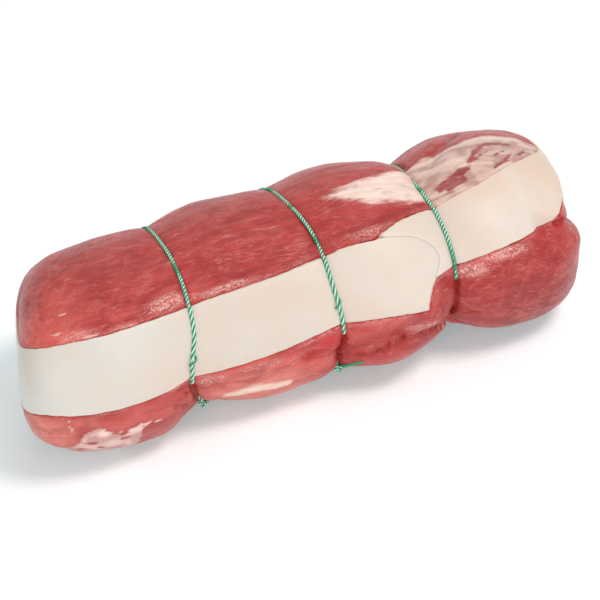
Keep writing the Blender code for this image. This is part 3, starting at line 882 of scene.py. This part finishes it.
# Painted highlights: a pale milky glare and bright glints, where wet meat shines, crowd along the fat's
# edges and on the lobe below the right-hand strip
GLARE_ZONES = (
    (-0.066, 51, 0.009, 5, 1.0),
    (-0.045, 49, 0.014, 2.5, 0.9),
    (-0.084, 46.5, 0.007, 2, 0.6),
    (-0.102, 48, 0.008, 4, 0.6),
    (0.064, 20, 0.008, 5.5, 1.0),
    (0.078, 26, 0.012, 3.5, 0.9),
    (-0.056, -3, 0.006, 4, 0.8),
    (0.036, -6, 0.009, 6, 0.8),
    (0.020, 57, 0.009, 2.5, 0.6),
    (-0.020, -3, 0.008, 5, 0.3),
    (-0.036, 0, 0.012, 3, 0.5),
)
glare_patch = zone_mask(GLARE_ZONES, station, angle, ragged)
near_fat = np.exp(-((inside_fat + 0.0010) / 0.0011) ** 2)
painted_glints = np.maximum(glare_patch, 0.45 * near_fat * ramp(ragged, -0.3, 0.4))
print(len(THREADS), "threads,", len(FLECKS), "flecks and", len(GLARE_ZONES), "speckled zones")

# %% [markdown]
# A mesh can carry any number for each of its points. The flesh and the pale skins are kept as two
# colours with a mask between them, because the material tears the mask's edge more finely than
# the points could. The mask of painted highlights, wet glare and glints, and the direction of the
# grain are stored in the same way.

# %% Store the colours on the mesh
def store_colour(mesh, name, colour):
    layer = mesh.color_attributes.new(name, "FLOAT_COLOR", "POINT")
    rgba = np.concatenate([colour, np.ones((len(colour), 1))], axis=1)
    layer.data.foreach_set("color", np.clip(rgba, 0, 1).astype(np.float32).ravel())

def store_number(mesh, name, values):
    layer = mesh.attributes.new(name, "FLOAT", "POINT")
    layer.data.foreach_set("value", values.astype(np.float32))

def store_vector(mesh, name, vectors):
    layer = mesh.attributes.new(name, "FLOAT_VECTOR", "POINT")
    layer.data.foreach_set("vector", vectors.astype(np.float32).ravel())

store_colour(meat_mesh, "flesh_colour", colour)
store_colour(meat_mesh, "skin_colour", skin_colour)
store_number(meat_mesh, "skin", skin_mask)
store_number(meat_mesh, "painted_glints", painted_glints)
store_vector(meat_mesh, "grain", grain)
print("attributes:", [a.name for a in meat_mesh.attributes])

# %% [markdown]
# Raw meat is soft, wet and slightly see-through, so its material needs three things: light that
# scatters under the surface, a thin glossy coat of moisture, and fibres that break up both the
# colour and the gloss. The fibres come from noise that is read along the grain stored above.
# Fine crumbs of noise tear the edges of the pale skins, a web of thin walls gives the pale
# threads between torn fibres, and painted highlights, a milky glare with bright glints, lie where the meat
# is wettest.

# %% Material of raw meat
def set_inputs(shader, **values):
    """Set plain numbers and colours on a node's inputs by name."""
    for name, value in values.items():
        shader.inputs[name.replace("_", " ")].default_value = value

def node(tree, kind, **values):
    """Add a node and set its inputs by name."""
    made = tree.nodes.new(kind)
    set_inputs(made, **values)
    return made

def stretched(tree, grain_node, stretch):
    """The grain's coordinates. stretch is how many blobs fit in a metre each way."""
    scaled = tree.nodes.new("ShaderNodeVectorMath")
    scaled.operation = "MULTIPLY"
    scaled.inputs[1].default_value = stretch
    tree.links.new(grain_node.outputs["Vector"], scaled.inputs[0])
    return scaled.outputs[0]

def grain_noise(tree, grain_node, stretch, detail, distortion=0.0):
    made = node(tree, "ShaderNodeTexNoise", Scale=1.0, Detail=detail, Roughness=0.6, Distortion=distortion)
    tree.links.new(stretched(tree, grain_node, stretch), made.inputs["Vector"])
    return made.outputs["Fac"]

def web_threads(tree, grain_node, stretch, bend):
    """1 on the walls between torn cells, 0 inside them."""
    waver = node(tree, "ShaderNodeTexNoise", Scale=1.6, Detail=3.0, Roughness=0.6)
    place = stretched(tree, grain_node, stretch)
    tree.links.new(place, waver.inputs["Vector"])
    bent = tree.nodes.new("ShaderNodeVectorMath")
    bent.operation = "MULTIPLY_ADD"
    bent.inputs[1].default_value = (bend, bend, bend)
    tree.links.new(waver.outputs["Color"], bent.inputs[0])
    tree.links.new(place, bent.inputs[2])
    cells = node(tree, "ShaderNodeTexVoronoi", Scale=1.0)
    cells.feature = "DISTANCE_TO_EDGE"
    tree.links.new(bent.outputs[0], cells.inputs["Vector"])
    return map_range(tree, cells.outputs["Distance"], 0.0, 0.07, 1.0, 0.0)

def attribute(tree, name):
    made = tree.nodes.new("ShaderNodeAttribute")
    made.attribute_name = name
    return made

def map_range(tree, value, low, high, to_low, to_high):
    made = tree.nodes.new("ShaderNodeMapRange")
    for index, number in zip((1, 2, 3, 4), (low, high, to_low, to_high)):
        made.inputs[index].default_value = number
    tree.links.new(value, made.inputs[0])
    return made.outputs[0]

def mix_colour(tree, factor, first, second, blend="MIX"):
    made = tree.nodes.new("ShaderNodeMix")
    made.data_type = "RGBA"
    made.blend_type = blend
    for socket, value in ((made.inputs[0], factor), (made.inputs[6], first), (made.inputs[7], second)):
        if isinstance(value, bpy.types.NodeSocket):
            tree.links.new(value, socket)
        else:
            socket.default_value = value
    return made.outputs[2]

def sum_or_product(tree, operation, first, second):
    made = tree.nodes.new("ShaderNodeMath")
    made.operation = operation
    tree.links.new(first, made.inputs[0])
    tree.links.new(second, made.inputs[1])
    return made.outputs[0]

def tint(tree, base, colour, mask, low, high, most):
    """Lay a colour over another, not at all where the mask is low and most where it is high."""
    return mix_colour(tree, map_range(tree, mask, low, high, 0.0, most), base, (*colour, 1))

def plus(tree, first, second):
    return sum_or_product(tree, "ADD", first, second)

def times(tree, first, second):
    return sum_or_product(tree, "MULTIPLY", first, second)

def new_material(name):
    made = bpy.data.materials.new(name)
    made.use_nodes = True
    return made, made.node_tree, made.node_tree.nodes["Principled BSDF"]

DARK_FIBRE = srgb(150, 28, 28)
DARKEST_FIBRE = srgb(132, 18, 20)
ROSY_CLOUD = srgb(208, 86, 78)
THREAD_PINK = srgb(224, 134, 126)
WEB_PINK = srgb(230, 150, 142)
SKIN_SHADE = srgb(204, 126, 120)
GLARE_PINK = srgb(228, 164, 156)
GLINT_PINK = srgb(240, 200, 190)

def meat_material():
    made, tree, shader = new_material("raw_pork")
    grain_node = attribute(tree, "grain")
    flesh = attribute(tree, "flesh_colour").outputs["Color"]
    skin_tint = attribute(tree, "skin_colour").outputs["Color"]
    skin_mask = attribute(tree, "skin").outputs["Fac"]
    glint_mask = attribute(tree, "painted_glints").outputs["Fac"]
    tone = grain_noise(tree, grain_node, (45, 70, 70), 3, 0.6)
    cloud = grain_noise(tree, grain_node, (130, 190, 190), 5, 0.8)
    broad = grain_noise(tree, grain_node, (70, 300, 300), 5, 0.5)
    thin = grain_noise(tree, grain_node, (120, 900, 900), 3, 1.4)
    dots = grain_noise(tree, grain_node, (1100, 1800, 1800), 2)
    crumbs = grain_noise(tree, grain_node, (180, 480, 480), 5, 0.6)
    webs = web_threads(tree, grain_node, (110, 420, 420), 1.6)
    torn = plus(tree, skin_mask, map_range(tree, crumbs, 0.3, 0.7, -0.22, 0.22))
    pale = map_range(tree, torn, 0.18, 0.82, 0.0, 1.0)
    shade = tint(tree, flesh, DARK_FIBRE, tone, 0.48, 0.66, 0.5)
    shade = tint(tree, shade, DARKEST_FIBRE, broad, 0.56, 0.36, 0.36)
    shade = tint(tree, shade, ROSY_CLOUD, cloud, 0.46, 0.68, 0.42)
    some_places = map_range(tree, cloud, 0.38, 0.60, 0.2, 1.0)
    thread = times(tree, map_range(tree, thin, 0.59, 0.67, 0.0, 0.65), some_places)
    shade = mix_colour(tree, thread, shade, (*THREAD_PINK, 1))
    web = times(tree, webs, map_range(tree, cloud, 0.44, 0.62, 0.0, 0.22))
    shade = mix_colour(tree, web, shade, (*WEB_PINK, 1))
    soft_skin = tint(tree, skin_tint, SKIN_SHADE, broad, 0.56, 0.32, 0.30)
    shade = mix_colour(tree, pale, shade, soft_skin)
    # Painted highlights: a pale milky glare and small bright glints stand in for light reflected by the wet
    # surface
    glare_at = times(tree, map_range(tree, crumbs, 0.44, 0.56, 0.08, 0.52), glint_mask)
    shade = mix_colour(tree, glare_at, shade, (*GLARE_PINK, 1))
    glint_at = times(tree, map_range(tree, dots, 0.53, 0.61, 0.0, 0.85), glint_mask)
    shade = mix_colour(tree, glint_at, shade, (*GLINT_PINK, 1))
    tree.links.new(shade, shader.inputs["Base Color"])
    tree.links.new(map_range(tree, broad, 0.3, 0.7, 0.46, 0.26), shader.inputs["Roughness"])
    set_inputs(shader, Subsurface_Weight=0.15, Subsurface_Radius=(1.0, 0.35, 0.25), Subsurface_Scale=0.002)
    set_inputs(shader, Coat_Weight=0.35, Coat_Roughness=0.14, Specular_IOR_Level=0.25)
    height = plus(tree, broad, map_range(tree, thin, 0.3, 0.7, 0.0, 0.45))
    height = plus(tree, height, map_range(tree, dots, 0.3, 0.7, 0.0, 0.12))
    height = plus(tree, height, map_range(tree, pale, 0.0, 1.0, 0.0, 0.25))
    height = plus(tree, height, map_range(tree, webs, 0.0, 1.0, 0.0, 0.10))
    bumps = node(tree, "ShaderNodeBump", Strength=0.7, Distance=0.0007)
    tree.links.new(height, bumps.inputs["Height"])
    tree.links.new(bumps.outputs[0], shader.inputs["Normal"])
    wet = plus(tree, map_range(tree, dots, 0.3, 0.7, 0.0, 0.5), map_range(tree, thin, 0.3, 0.7, 0.0, 0.8))
    wet = plus(tree, wet, broad)
    film_bumps = node(tree, "ShaderNodeBump", Strength=0.8, Distance=0.0007)
    tree.links.new(wet, film_bumps.inputs["Height"])
    tree.links.new(film_bumps.outputs[0], shader.inputs["Coat Normal"])
    return made

meat_mesh.materials.append(meat_material())
print("meat material:", meat_mesh.materials[0].name)

# %% [markdown]
# A fat strip is a sheet about three millimetres thick with rounded edges. It is a grid of
# columns along the strip and rows across it, extruded into a closed slab. Every point then finds
# its compass and rise angle, and is lifted off the log by its own height.

# %% Model the fat strips
STRIP_COLUMNS = 330
STRIP_ROWS = 44
EDGE_ROUND = 0.0012
EDGE_DROP = 0.0012
TWINE_BITE = 0.0007
TWINE_BITE_WIDTH = 0.0018
JAGGED_END = 1.1
WAVES = 0.00022
RIPPLES = 0.00004
FAT_LEFT = srgb(211, 207, 199)
FAT_MIDDLE = srgb(212, 199, 187)
FAT_LAP = srgb(217, 202, 189)
FAT_RIGHT = srgb(221, 197, 180)

def strip_grid(name):
    """A closed slab, with column and row shares and the layer of each point."""
    bm = bmesh.new()
    bmesh.ops.create_grid(bm, x_segments=STRIP_COLUMNS, y_segments=STRIP_ROWS, size=0.5)
    upper = bmesh.ops.extrude_face_region(bm, geom=bm.faces[:])
    new_points = [v for v in upper["geom"] if isinstance(v, bmesh.types.BMVert)]
    bmesh.ops.translate(bm, verts=new_points, vec=(0, 0, 1))
    bmesh.ops.recalc_face_normals(bm, faces=bm.faces[:])
    mesh, spots = mesh_from(bm, name)
    return mesh, spots[:, 0] + 0.5, spots[:, 1] + 0.5, spots[:, 2] > 0.5

def crowd_to_edges(share):
    """Rows sit closer together near the two edges."""
    return share - 0.75 * np.sin(2 * math.pi * share) / (2 * math.pi)

def tie_distance(station, angle):
    """Metres along the roast to the nearest loop of twine."""
    return np.min([np.abs(station - tie[1] - wander(tie[0], angle)) for tie in TIES], axis=0)

def strip_heights(table, turn, rise):
    """Outer height and thickness before the edges are rounded."""
    if table is LEFT_STRIP:
        floor = smooth_curve(RIGHT_STRIP, turn, 1)
        lap = ramp(turn, *LAP_START) * ramp(rise - floor, *LAP_CLIMB)
        proud = STRIP_PROUD + (LAP_PROUD - STRIP_PROUD) * lap
        return proud, STRIP_THICK + (LAP_THICK - STRIP_THICK) * lap
    end = smooth_curve(LEFT_STRIP_END, rise, 1)
    lap = 1 - ramp(turn - end, *LAP_PAST)
    proud = STRIP_PROUD + (LAP_UNDER - STRIP_PROUD) * lap
    return proud, STRIP_THICK + (LAP_UNDER - STRIP_PROUD) * lap

def make_strip(name, table, node_name):
    mesh, column, row, is_outer = strip_grid(name)
    turn = table[0][0] + column * (table[-1][0] - table[0][0])
    low, high = strip_edges(table, turn)
    rise = low + crowd_to_edges(row) * (high - low)
    if table is LEFT_STRIP:
        free_end = smooth_curve(LEFT_STRIP_END, rise, 1)
        torn = noise_at(np.stack([rise, 0 * rise, 0 * rise], axis=-1), 3.2, 10) * (1 - ramp(rise, 22, 30))
        free_end = free_end + JAGGED_END * torn
        turn = turn + ramp(turn, -10, table[-1][0]) * (free_end - table[-1][0])
    direction = compass(turn, rise)
    point, normal = skin(direction)
    station, _, angle = station_of(direction)
    proud, thick = strip_heights(table, turn, rise)
    radius = np.linalg.norm(point - np.array([0, 0, SECTIONS[2][1]]), axis=-1)
    inside = np.clip(strip_depth(table, turn, rise, radius), 0, EDGE_ROUND)
    lapped = ramp(proud, STRIP_PROUD, LAP_PROUD)
    drop = EDGE_DROP * (1 - 0.9 * lapped) * (1 - np.sqrt(1 - (1 - inside / EDGE_ROUND) ** 2))
    waves = WAVES * noise_at(point, 0.016, 8) + RIPPLES * noise_at(point, 0.003, 9)
    bite = TWINE_BITE * np.exp(-(tie_distance(station, angle) / TWINE_BITE_WIDTH) ** 2)
    outer = proud - drop + waves - bite
    lift = np.where(is_outer, outer, proud - thick + 0.0002)
    lift = np.where(is_outer, lift, np.minimum(lift, outer - 0.0004))
    place_points(mesh, point + lift[:, None] * normal)
    store_number(mesh, "edge", (1 - inside / EDGE_ROUND) * (1 - lapped))
    shade = mixed(np.tile(FAT_LEFT, (len(turn), 1)), FAT_MIDDLE, ramp(turn, -60, -22))
    shade = mixed(shade, FAT_LAP, ramp(turn, -12, 12))
    shade = mixed(shade, FAT_RIGHT, ramp(turn, 36, 64))
    store_colour(mesh, "fat_colour", shade)
    strip = add_object(name, mesh, [node_name])
    print(name, "has", len(mesh.polygons), "faces")
    return strip

left_fat = make_strip("left_fat", LEFT_STRIP, "fat_strip_left")
right_fat = make_strip("right_fat", RIGHT_STRIP, "fat_strip_right")

# %% [markdown]
# Back fat is creamy white, a little rosy in places and cooler in others, with a waxy sheen.
# Light goes into it deeply, so it gets more scattering under the surface than the meat, which
# also softens the shadows on it. Near the cut edges some pink of the meat shows through.

# %% Material of back fat
ROSY_FAT = srgb(216, 192, 176)
COOL_FAT = srgb(217, 213, 205)
EDGE_PINK = srgb(228, 186, 168)

def fat_material():
    made, tree, shader = new_material("back_fat")
    place = tree.nodes.new("ShaderNodeTexCoord")
    blush = node(tree, "ShaderNodeTexNoise", Scale=28.0, Detail=3.0, Roughness=0.5)
    grainy = node(tree, "ShaderNodeTexNoise", Scale=420.0, Detail=3.0, Roughness=0.6)
    for texture in (blush, grainy):
        tree.links.new(place.outputs["Object"], texture.inputs["Vector"])
    edge = attribute(tree, "edge")
    base = attribute(tree, "fat_colour").outputs["Color"]
    shade = tint(tree, base, ROSY_FAT, blush.outputs["Fac"], 0.45, 0.68, 0.5)
    shade = tint(tree, shade, COOL_FAT, blush.outputs["Fac"], 0.45, 0.30, 0.5)
    shade = tint(tree, shade, EDGE_PINK, edge.outputs["Fac"], 0.3, 1.0, 0.35)
    tree.links.new(shade, shader.inputs["Base Color"])
    tree.links.new(map_range(tree, grainy.outputs["Fac"], 0.3, 0.7, 0.40, 0.55), shader.inputs["Roughness"])
    set_inputs(shader, Subsurface_Weight=0.35, Subsurface_Radius=(1.0, 0.75, 0.55), Subsurface_Scale=0.003)
    set_inputs(shader, Coat_Weight=0.06, Coat_Roughness=0.35, Specular_IOR_Level=0.3)
    bumps = node(tree, "ShaderNodeBump", Strength=0.12, Distance=0.0003)
    tree.links.new(grainy.outputs["Fac"], bumps.inputs["Height"])
    tree.links.new(bumps.outputs[0], shader.inputs["Normal"])
    return made

back_fat = fat_material()
for strip in (left_fat, right_fat):
    strip.data.materials.append(back_fat)
print("fat material:", back_fat.name)

# %% [markdown]
# Butcher's twine is several thin strands twisted round each other, here two green and two white.
# The stripes seen on it are the strands themselves, so real strands are modelled: each is a thin
# tube that winds round the loop's middle line. The twist is tight over the top and looser down
# the front, where one green strand has sprung out into a small kink.

# %% Rope of four strands
STRANDS = 4
GREEN_RADIUS = 0.00044
WHITE_RADIUS = 0.00034
TWIST_RADIUS = 0.00042
TUBE_SIDES = 6

def unit(vectors):
    return vectors / np.linalg.norm(vectors, axis=-1, keepdims=True)

def tube_faces(count, sides, first):
    """Quads between neighbouring rings of points."""
    ring = np.arange(count - 1)[:, None] * sides
    side = np.arange(sides)[None, :]
    after = (side + 1) % sides
    quads = np.stack([ring + side, ring + after, ring + sides + after, ring + sides + side], axis=-1)
    return first + quads.reshape(-1, 4)

def tube_points(path, radius, sides):
    """Rings of points round a path. radius may change along it."""
    along = unit(np.gradient(path, axis=0))
    aside = unit(np.cross(along, np.array([0.36, 0.48, 0.80])))
    other = np.cross(along, aside)
    turns = np.linspace(0, 2 * math.pi, sides, endpoint=False)
    ring = np.cos(turns)[None, :, None] * aside[:, None, :]
    ring = ring + np.sin(turns)[None, :, None] * other[:, None, :]
    radius = np.broadcast_to(radius, (len(path),))
    return (path[:, None, :] + radius[:, None, None] * ring).reshape(-1, 3)

def rope_mesh(name, path, outward, pitch, swell=0.0, buried=0.0):
    """Strands wound round a path. pitch is the length of one turn at each point of it. One green
    strand may swell outward, and the white ones may be buried between the green ones."""
    step = np.linalg.norm(np.gradient(path, axis=0), axis=-1)
    phase = np.cumsum(2 * math.pi * step / pitch)
    along = unit(np.gradient(path, axis=0))
    outward = unit(outward - np.sum(outward * along, axis=-1, keepdims=True) * along)
    aside = np.cross(along, outward)
    points, faces, slots = [], [], []
    count = len(path)
    for strand in range(STRANDS):
        turn = (phase + 2 * math.pi * strand / STRANDS)[:, None]
        is_white = strand % 2
        offset = TWIST_RADIUS * (1 - 0.9 * is_white * np.broadcast_to(buried, count))
        if strand == 0:
            offset = offset + swell
        wound = path + offset[:, None] * (np.cos(turn) * outward + np.sin(turn) * aside)
        rings = tube_points(wound, WHITE_RADIUS if is_white else GREEN_RADIUS, TUBE_SIDES)
        first = sum(len(p) for p in points)
        points.append(rings)
        faces.append(tube_faces(count, TUBE_SIDES, first))
        slots.append(np.full(len(faces[-1]), is_white))
        points.append(wound[[0, -1]])
        cap = first + len(rings)
        near = [[cap, first + (s + 1) % TUBE_SIDES, first + s] for s in range(TUBE_SIDES)]
        last = first + (count - 1) * TUBE_SIDES
        far = [[cap + 1, last + s, last + (s + 1) % TUBE_SIDES] for s in range(TUBE_SIDES)]
        faces.append(near + far)
        slots.append(np.full(2 * TUBE_SIDES, is_white))
    mesh = bpy.data.meshes.new(name)
    corners = [list(map(int, face)) for group in faces for face in group]
    mesh.from_pydata(np.concatenate(points).tolist(), [], corners)
    mesh.polygons.foreach_set("material_index", np.concatenate(slots).astype(np.int32))
    mesh.update()
    mesh.shade_smooth()
    return mesh

print("rope thickness:", round(2000 * (GREEN_RADIUS + TWIST_RADIUS), 2), "mm")

# %% [markdown]
# Each loop follows the log's surface all the way round. It presses into the fat, sinks a little
# into the lean on top, and disappears where the meat has closed over it.

# %% Loops of twine
# Each knot: angle, then the length of each of its tails, the way that it points, and 1 if it's all green
KNOTS = {
    "twine_left": (-38, ((0.0028, (0.50, -0.76, 0.42), 0), (0.0020, (-0.30, -0.75, -0.58), 0))),
    "twine_middle": (-30, ((0.0108, (0.857, -0.385, 0.453), 1), (0.0016, (-0.30, -0.75, -0.58), 0))),
    "twine_right": (-76, ((0.0045, (0.55, -0.80, -0.20), 0), (0.0045, (-0.55, -0.80, -0.20), 0))),
}
LOOP_STEPS = 1500
TIGHT_PITCH = 0.0032
LOOSE_PITCH = 0.0068
# Kinks: loop, angle, half angle, how far the strand springs out
KINKS = {"twine_left": (16, 3.0, 0.0012), "twine_middle": (22, 3.0, 0.0012)}
# Where the green strands hide the white ones: middle angle, half angle
GREEN_ONLY = {
    "twine_left": ((71, 5), (130, 5)),
    "twine_middle": ((62, 3), (96, 2), (124, 4)),
    "twine_right": ((28, 9), (84, 3)),
}
FAT_UNDER_TWINE = 0.0002
SUNK_IN_CREASE = 0.0046
# How far the tight twine sinks into the meat on top, and round which angle
SUNK_ON_TOP = {"twine_left": 0.0005, "twine_middle": 0.0005, "twine_right": 0.0013}
TOP_ANGLE = math.radians(116)

def loop_path(name, place, angle):
    """The middle line of a loop, and the outward direction along it."""
    direction = direction_to(place + wander(name, angle), angle)
    point, normal = skin(direction)
    over_fat = ramp(fat_depth(direction, point), -0.0008, 0.0012)
    lift = TWIST_RADIUS + (STRIP_PROUD + FAT_UNDER_TWINE - TWINE_BITE) * over_fat
    lift = lift - TWINE_DENT * (1 - over_fat) * 0.5 - SUNK_IN_CREASE * closed_over(name, angle)
    from_top = np.degrees(np.abs(turn_between(angle, TOP_ANGLE)))
    lift = lift - SUNK_ON_TOP[name] * (1 - ramp(from_top, 16, 30))
    return point + lift[:, None] * normal, normal

def make_loop(name, place):
    angle = np.radians(KNOTS[name][0]) + np.linspace(0, 2 * math.pi, LOOP_STEPS)
    path, outward = loop_path(name, place, angle)
    turn = np.degrees(turn_between(angle, 0.0))
    front = ramp(turn, -60, 0) * (1 - ramp(turn, 30, 52))
    looseness = 0.25 if name == "twine_right" else 1.0
    pitch = TIGHT_PITCH + (LOOSE_PITCH - TIGHT_PITCH) * front * looseness
    swell = 0.0
    if name in KINKS:
        at, half, height = KINKS[name]
        swell = height * np.exp(-((turn - at) / half) ** 2)
    buried = sum(np.exp(-((turn - at) / half) ** 4) for at, half in GREEN_ONLY[name])
    mesh = rope_mesh(name + "_rope", path, outward, pitch, swell, buried)
    rope = add_object(name + "_rope", mesh, [name])
    print(name, "is", round(float(np.linalg.norm(np.diff(path, axis=0), axis=1).sum()), 3), "m round")
    return rope

ropes = [make_loop(tie[0], tie[1]) for tie in TIES]

# %% [markdown]
# Each loop is closed by a small tight knot at the foot of the roast, with two short tails. The
# knot follows the curve of a trefoil, the simplest real knot, shrunk until its turns touch.

# %% Knots and tails
KNOT_SIZE = 0.00046
KNOT_STEPS = 260
KNOT_PROUD = 0.0014
KNOT_PITCH = 0.0030
TAIL_STEPS = 40
TAIL_PITCH = 0.0035
TAIL_SAG = 0.1

def trefoil(centre, outward):
    """A closed trefoil knot that faces outward."""
    t = np.linspace(0, 2 * math.pi, KNOT_STEPS)
    flat_x = np.sin(t) + 2 * np.sin(2 * t)
    flat_y = np.cos(t) - 2 * np.cos(2 * t)
    depth = -np.sin(3 * t)
    along = np.array([1.0, 0, 0])
    up = np.cross(outward, along)
    shape = flat_x[:, None] * along + flat_y[:, None] * up + depth[:, None] * outward
    return centre + KNOT_SIZE * shape, np.broadcast_to(outward, shape.shape)

def make_knot(name, place):
    knot_angle, tails = KNOTS[name]
    spot = np.array([math.radians(knot_angle)])
    start, _ = loop_path(name, place, spot)
    outward = np.array([0, -math.cos(spot[0]), math.sin(spot[0])])
    centre = start[0] + outward * KNOT_PROUD
    path, out = trefoil(centre, outward)
    pieces = [rope_mesh(name + "_knot", path, out + 0.001, KNOT_PITCH)]
    for number, (length, way, all_green) in enumerate(tails):
        steps = np.linspace(0, length, TAIL_STEPS)[:, None]
        sag = np.array([0, 0, -TAIL_SAG]) * steps ** 2 / length
        tail = centre + steps * np.array(way) + sag
        up = np.broadcast_to(np.array([0.1, 0, 1.0]), tail.shape)
        pieces.append(rope_mesh(f"{name}_tail{number}", tail, up, TAIL_PITCH, buried=all_green))
    made = []
    for mesh in pieces:
        thing = add_object(mesh.name, mesh)
        made.append(thing)
    return made

knots = [piece for tie in TIES for piece in make_knot(tie[0], tie[1])]
print(len(knots), "knot and tail pieces")

# %% [markdown]
# The strands are dyed cotton, matt and slightly fuzzy. Green and white share one recipe with
# different colours. Fine noise mixes a light and a dark tone and roughens the surface.

# %% Material of the twine
def twine_material(name, light, dark):
    made, tree, shader = new_material(name)
    place = tree.nodes.new("ShaderNodeTexCoord")
    fuzz = node(tree, "ShaderNodeTexNoise", Scale=2600.0, Detail=3.0, Roughness=0.7)
    tree.links.new(place.outputs["Object"], fuzz.inputs["Vector"])
    shade = map_range(tree, fuzz.outputs["Fac"], 0.35, 0.65, 0.0, 1.0)
    tree.links.new(mix_colour(tree, shade, (*dark, 1), (*light, 1)), shader.inputs["Base Color"])
    set_inputs(shader, Roughness=0.75, Sheen_Weight=0.15)
    bumps = node(tree, "ShaderNodeBump", Strength=0.4, Distance=0.0001)
    tree.links.new(fuzz.outputs["Fac"], bumps.inputs["Height"])
    tree.links.new(bumps.outputs[0], shader.inputs["Normal"])
    return made

twine_green = twine_material("green_cotton", srgb(4, 164, 114), srgb(0, 118, 80))
twine_white = twine_material("white_cotton", srgb(240, 252, 246), srgb(160, 222, 194))
for piece in ropes + knots:
    piece.data.materials.append(twine_green)
    piece.data.materials.append(twine_white)
print("twine materials:", twine_green.name, twine_white.name)

# %% [markdown]
# The roast lies on a plain pale floor in soft studio light: a bright dome all round, a large
# lamp overhead for the broad wet shine, one from the front, and two weak ones that catch the top
# and the right end. Red meat throws a pink light on a white table. Photographers avoid that with
# a table that is lit from below, so the floor glows faintly, a little more in green and blue.

# %% Floor and light
FLOOR_SIZE = 6.0
TABLE_COLOUR = (0.95, 0.84, 0.84, 1)
TABLE_GLOW = (0.09, 0.24, 0.245, 1)
DOME_STRENGTH = 0.50

def make_floor():
    bm = bmesh.new()
    bmesh.ops.create_grid(bm, x_segments=1, y_segments=1, size=FLOOR_SIZE / 2)
    mesh, _ = mesh_from(bm, "studio_floor")
    floor = bpy.data.objects.new("studio_floor", mesh)
    bpy.context.scene.collection.objects.link(floor)
    made, _, shader = new_material("studio_white")
    set_inputs(shader, Base_Color=TABLE_COLOUR, Roughness=0.7)
    set_inputs(shader, Emission_Color=TABLE_GLOW, Emission_Strength=1.0)
    mesh.materials.append(made)

def make_lamp(name, azimuth, height_angle, distance, size, power):
    data = bpy.data.lights.new(name, "AREA")
    data.size = size
    data.energy = power
    lamp = bpy.data.objects.new(name, data)
    bpy.context.scene.collection.objects.link(lamp)
    lamp.location = Vector(CAMERA_TARGET) + distance * direction_from(azimuth, height_angle)
    aim(lamp, CAMERA_TARGET)

make_floor()
make_lamp("overhead_lamp", 48, 66, 1.2, 0.38, 7.4)
make_lamp("back_lamp", 163, 34, 1.3, 0.45, 1.9)
make_lamp("right_lamp", 20, 8, 1.2, 0.22, 1.2)
make_lamp("front_lamp", -38, 22, 1.5, 0.8, 5.6)
world = bpy.data.worlds.new("studio")
world.use_nodes = True
set_inputs(world.node_tree.nodes["Background"], Color=(1, 1, 1, 1), Strength=DOME_STRENGTH)
bpy.context.scene.world = world
bpy.context.scene.view_settings.view_transform = "Standard"
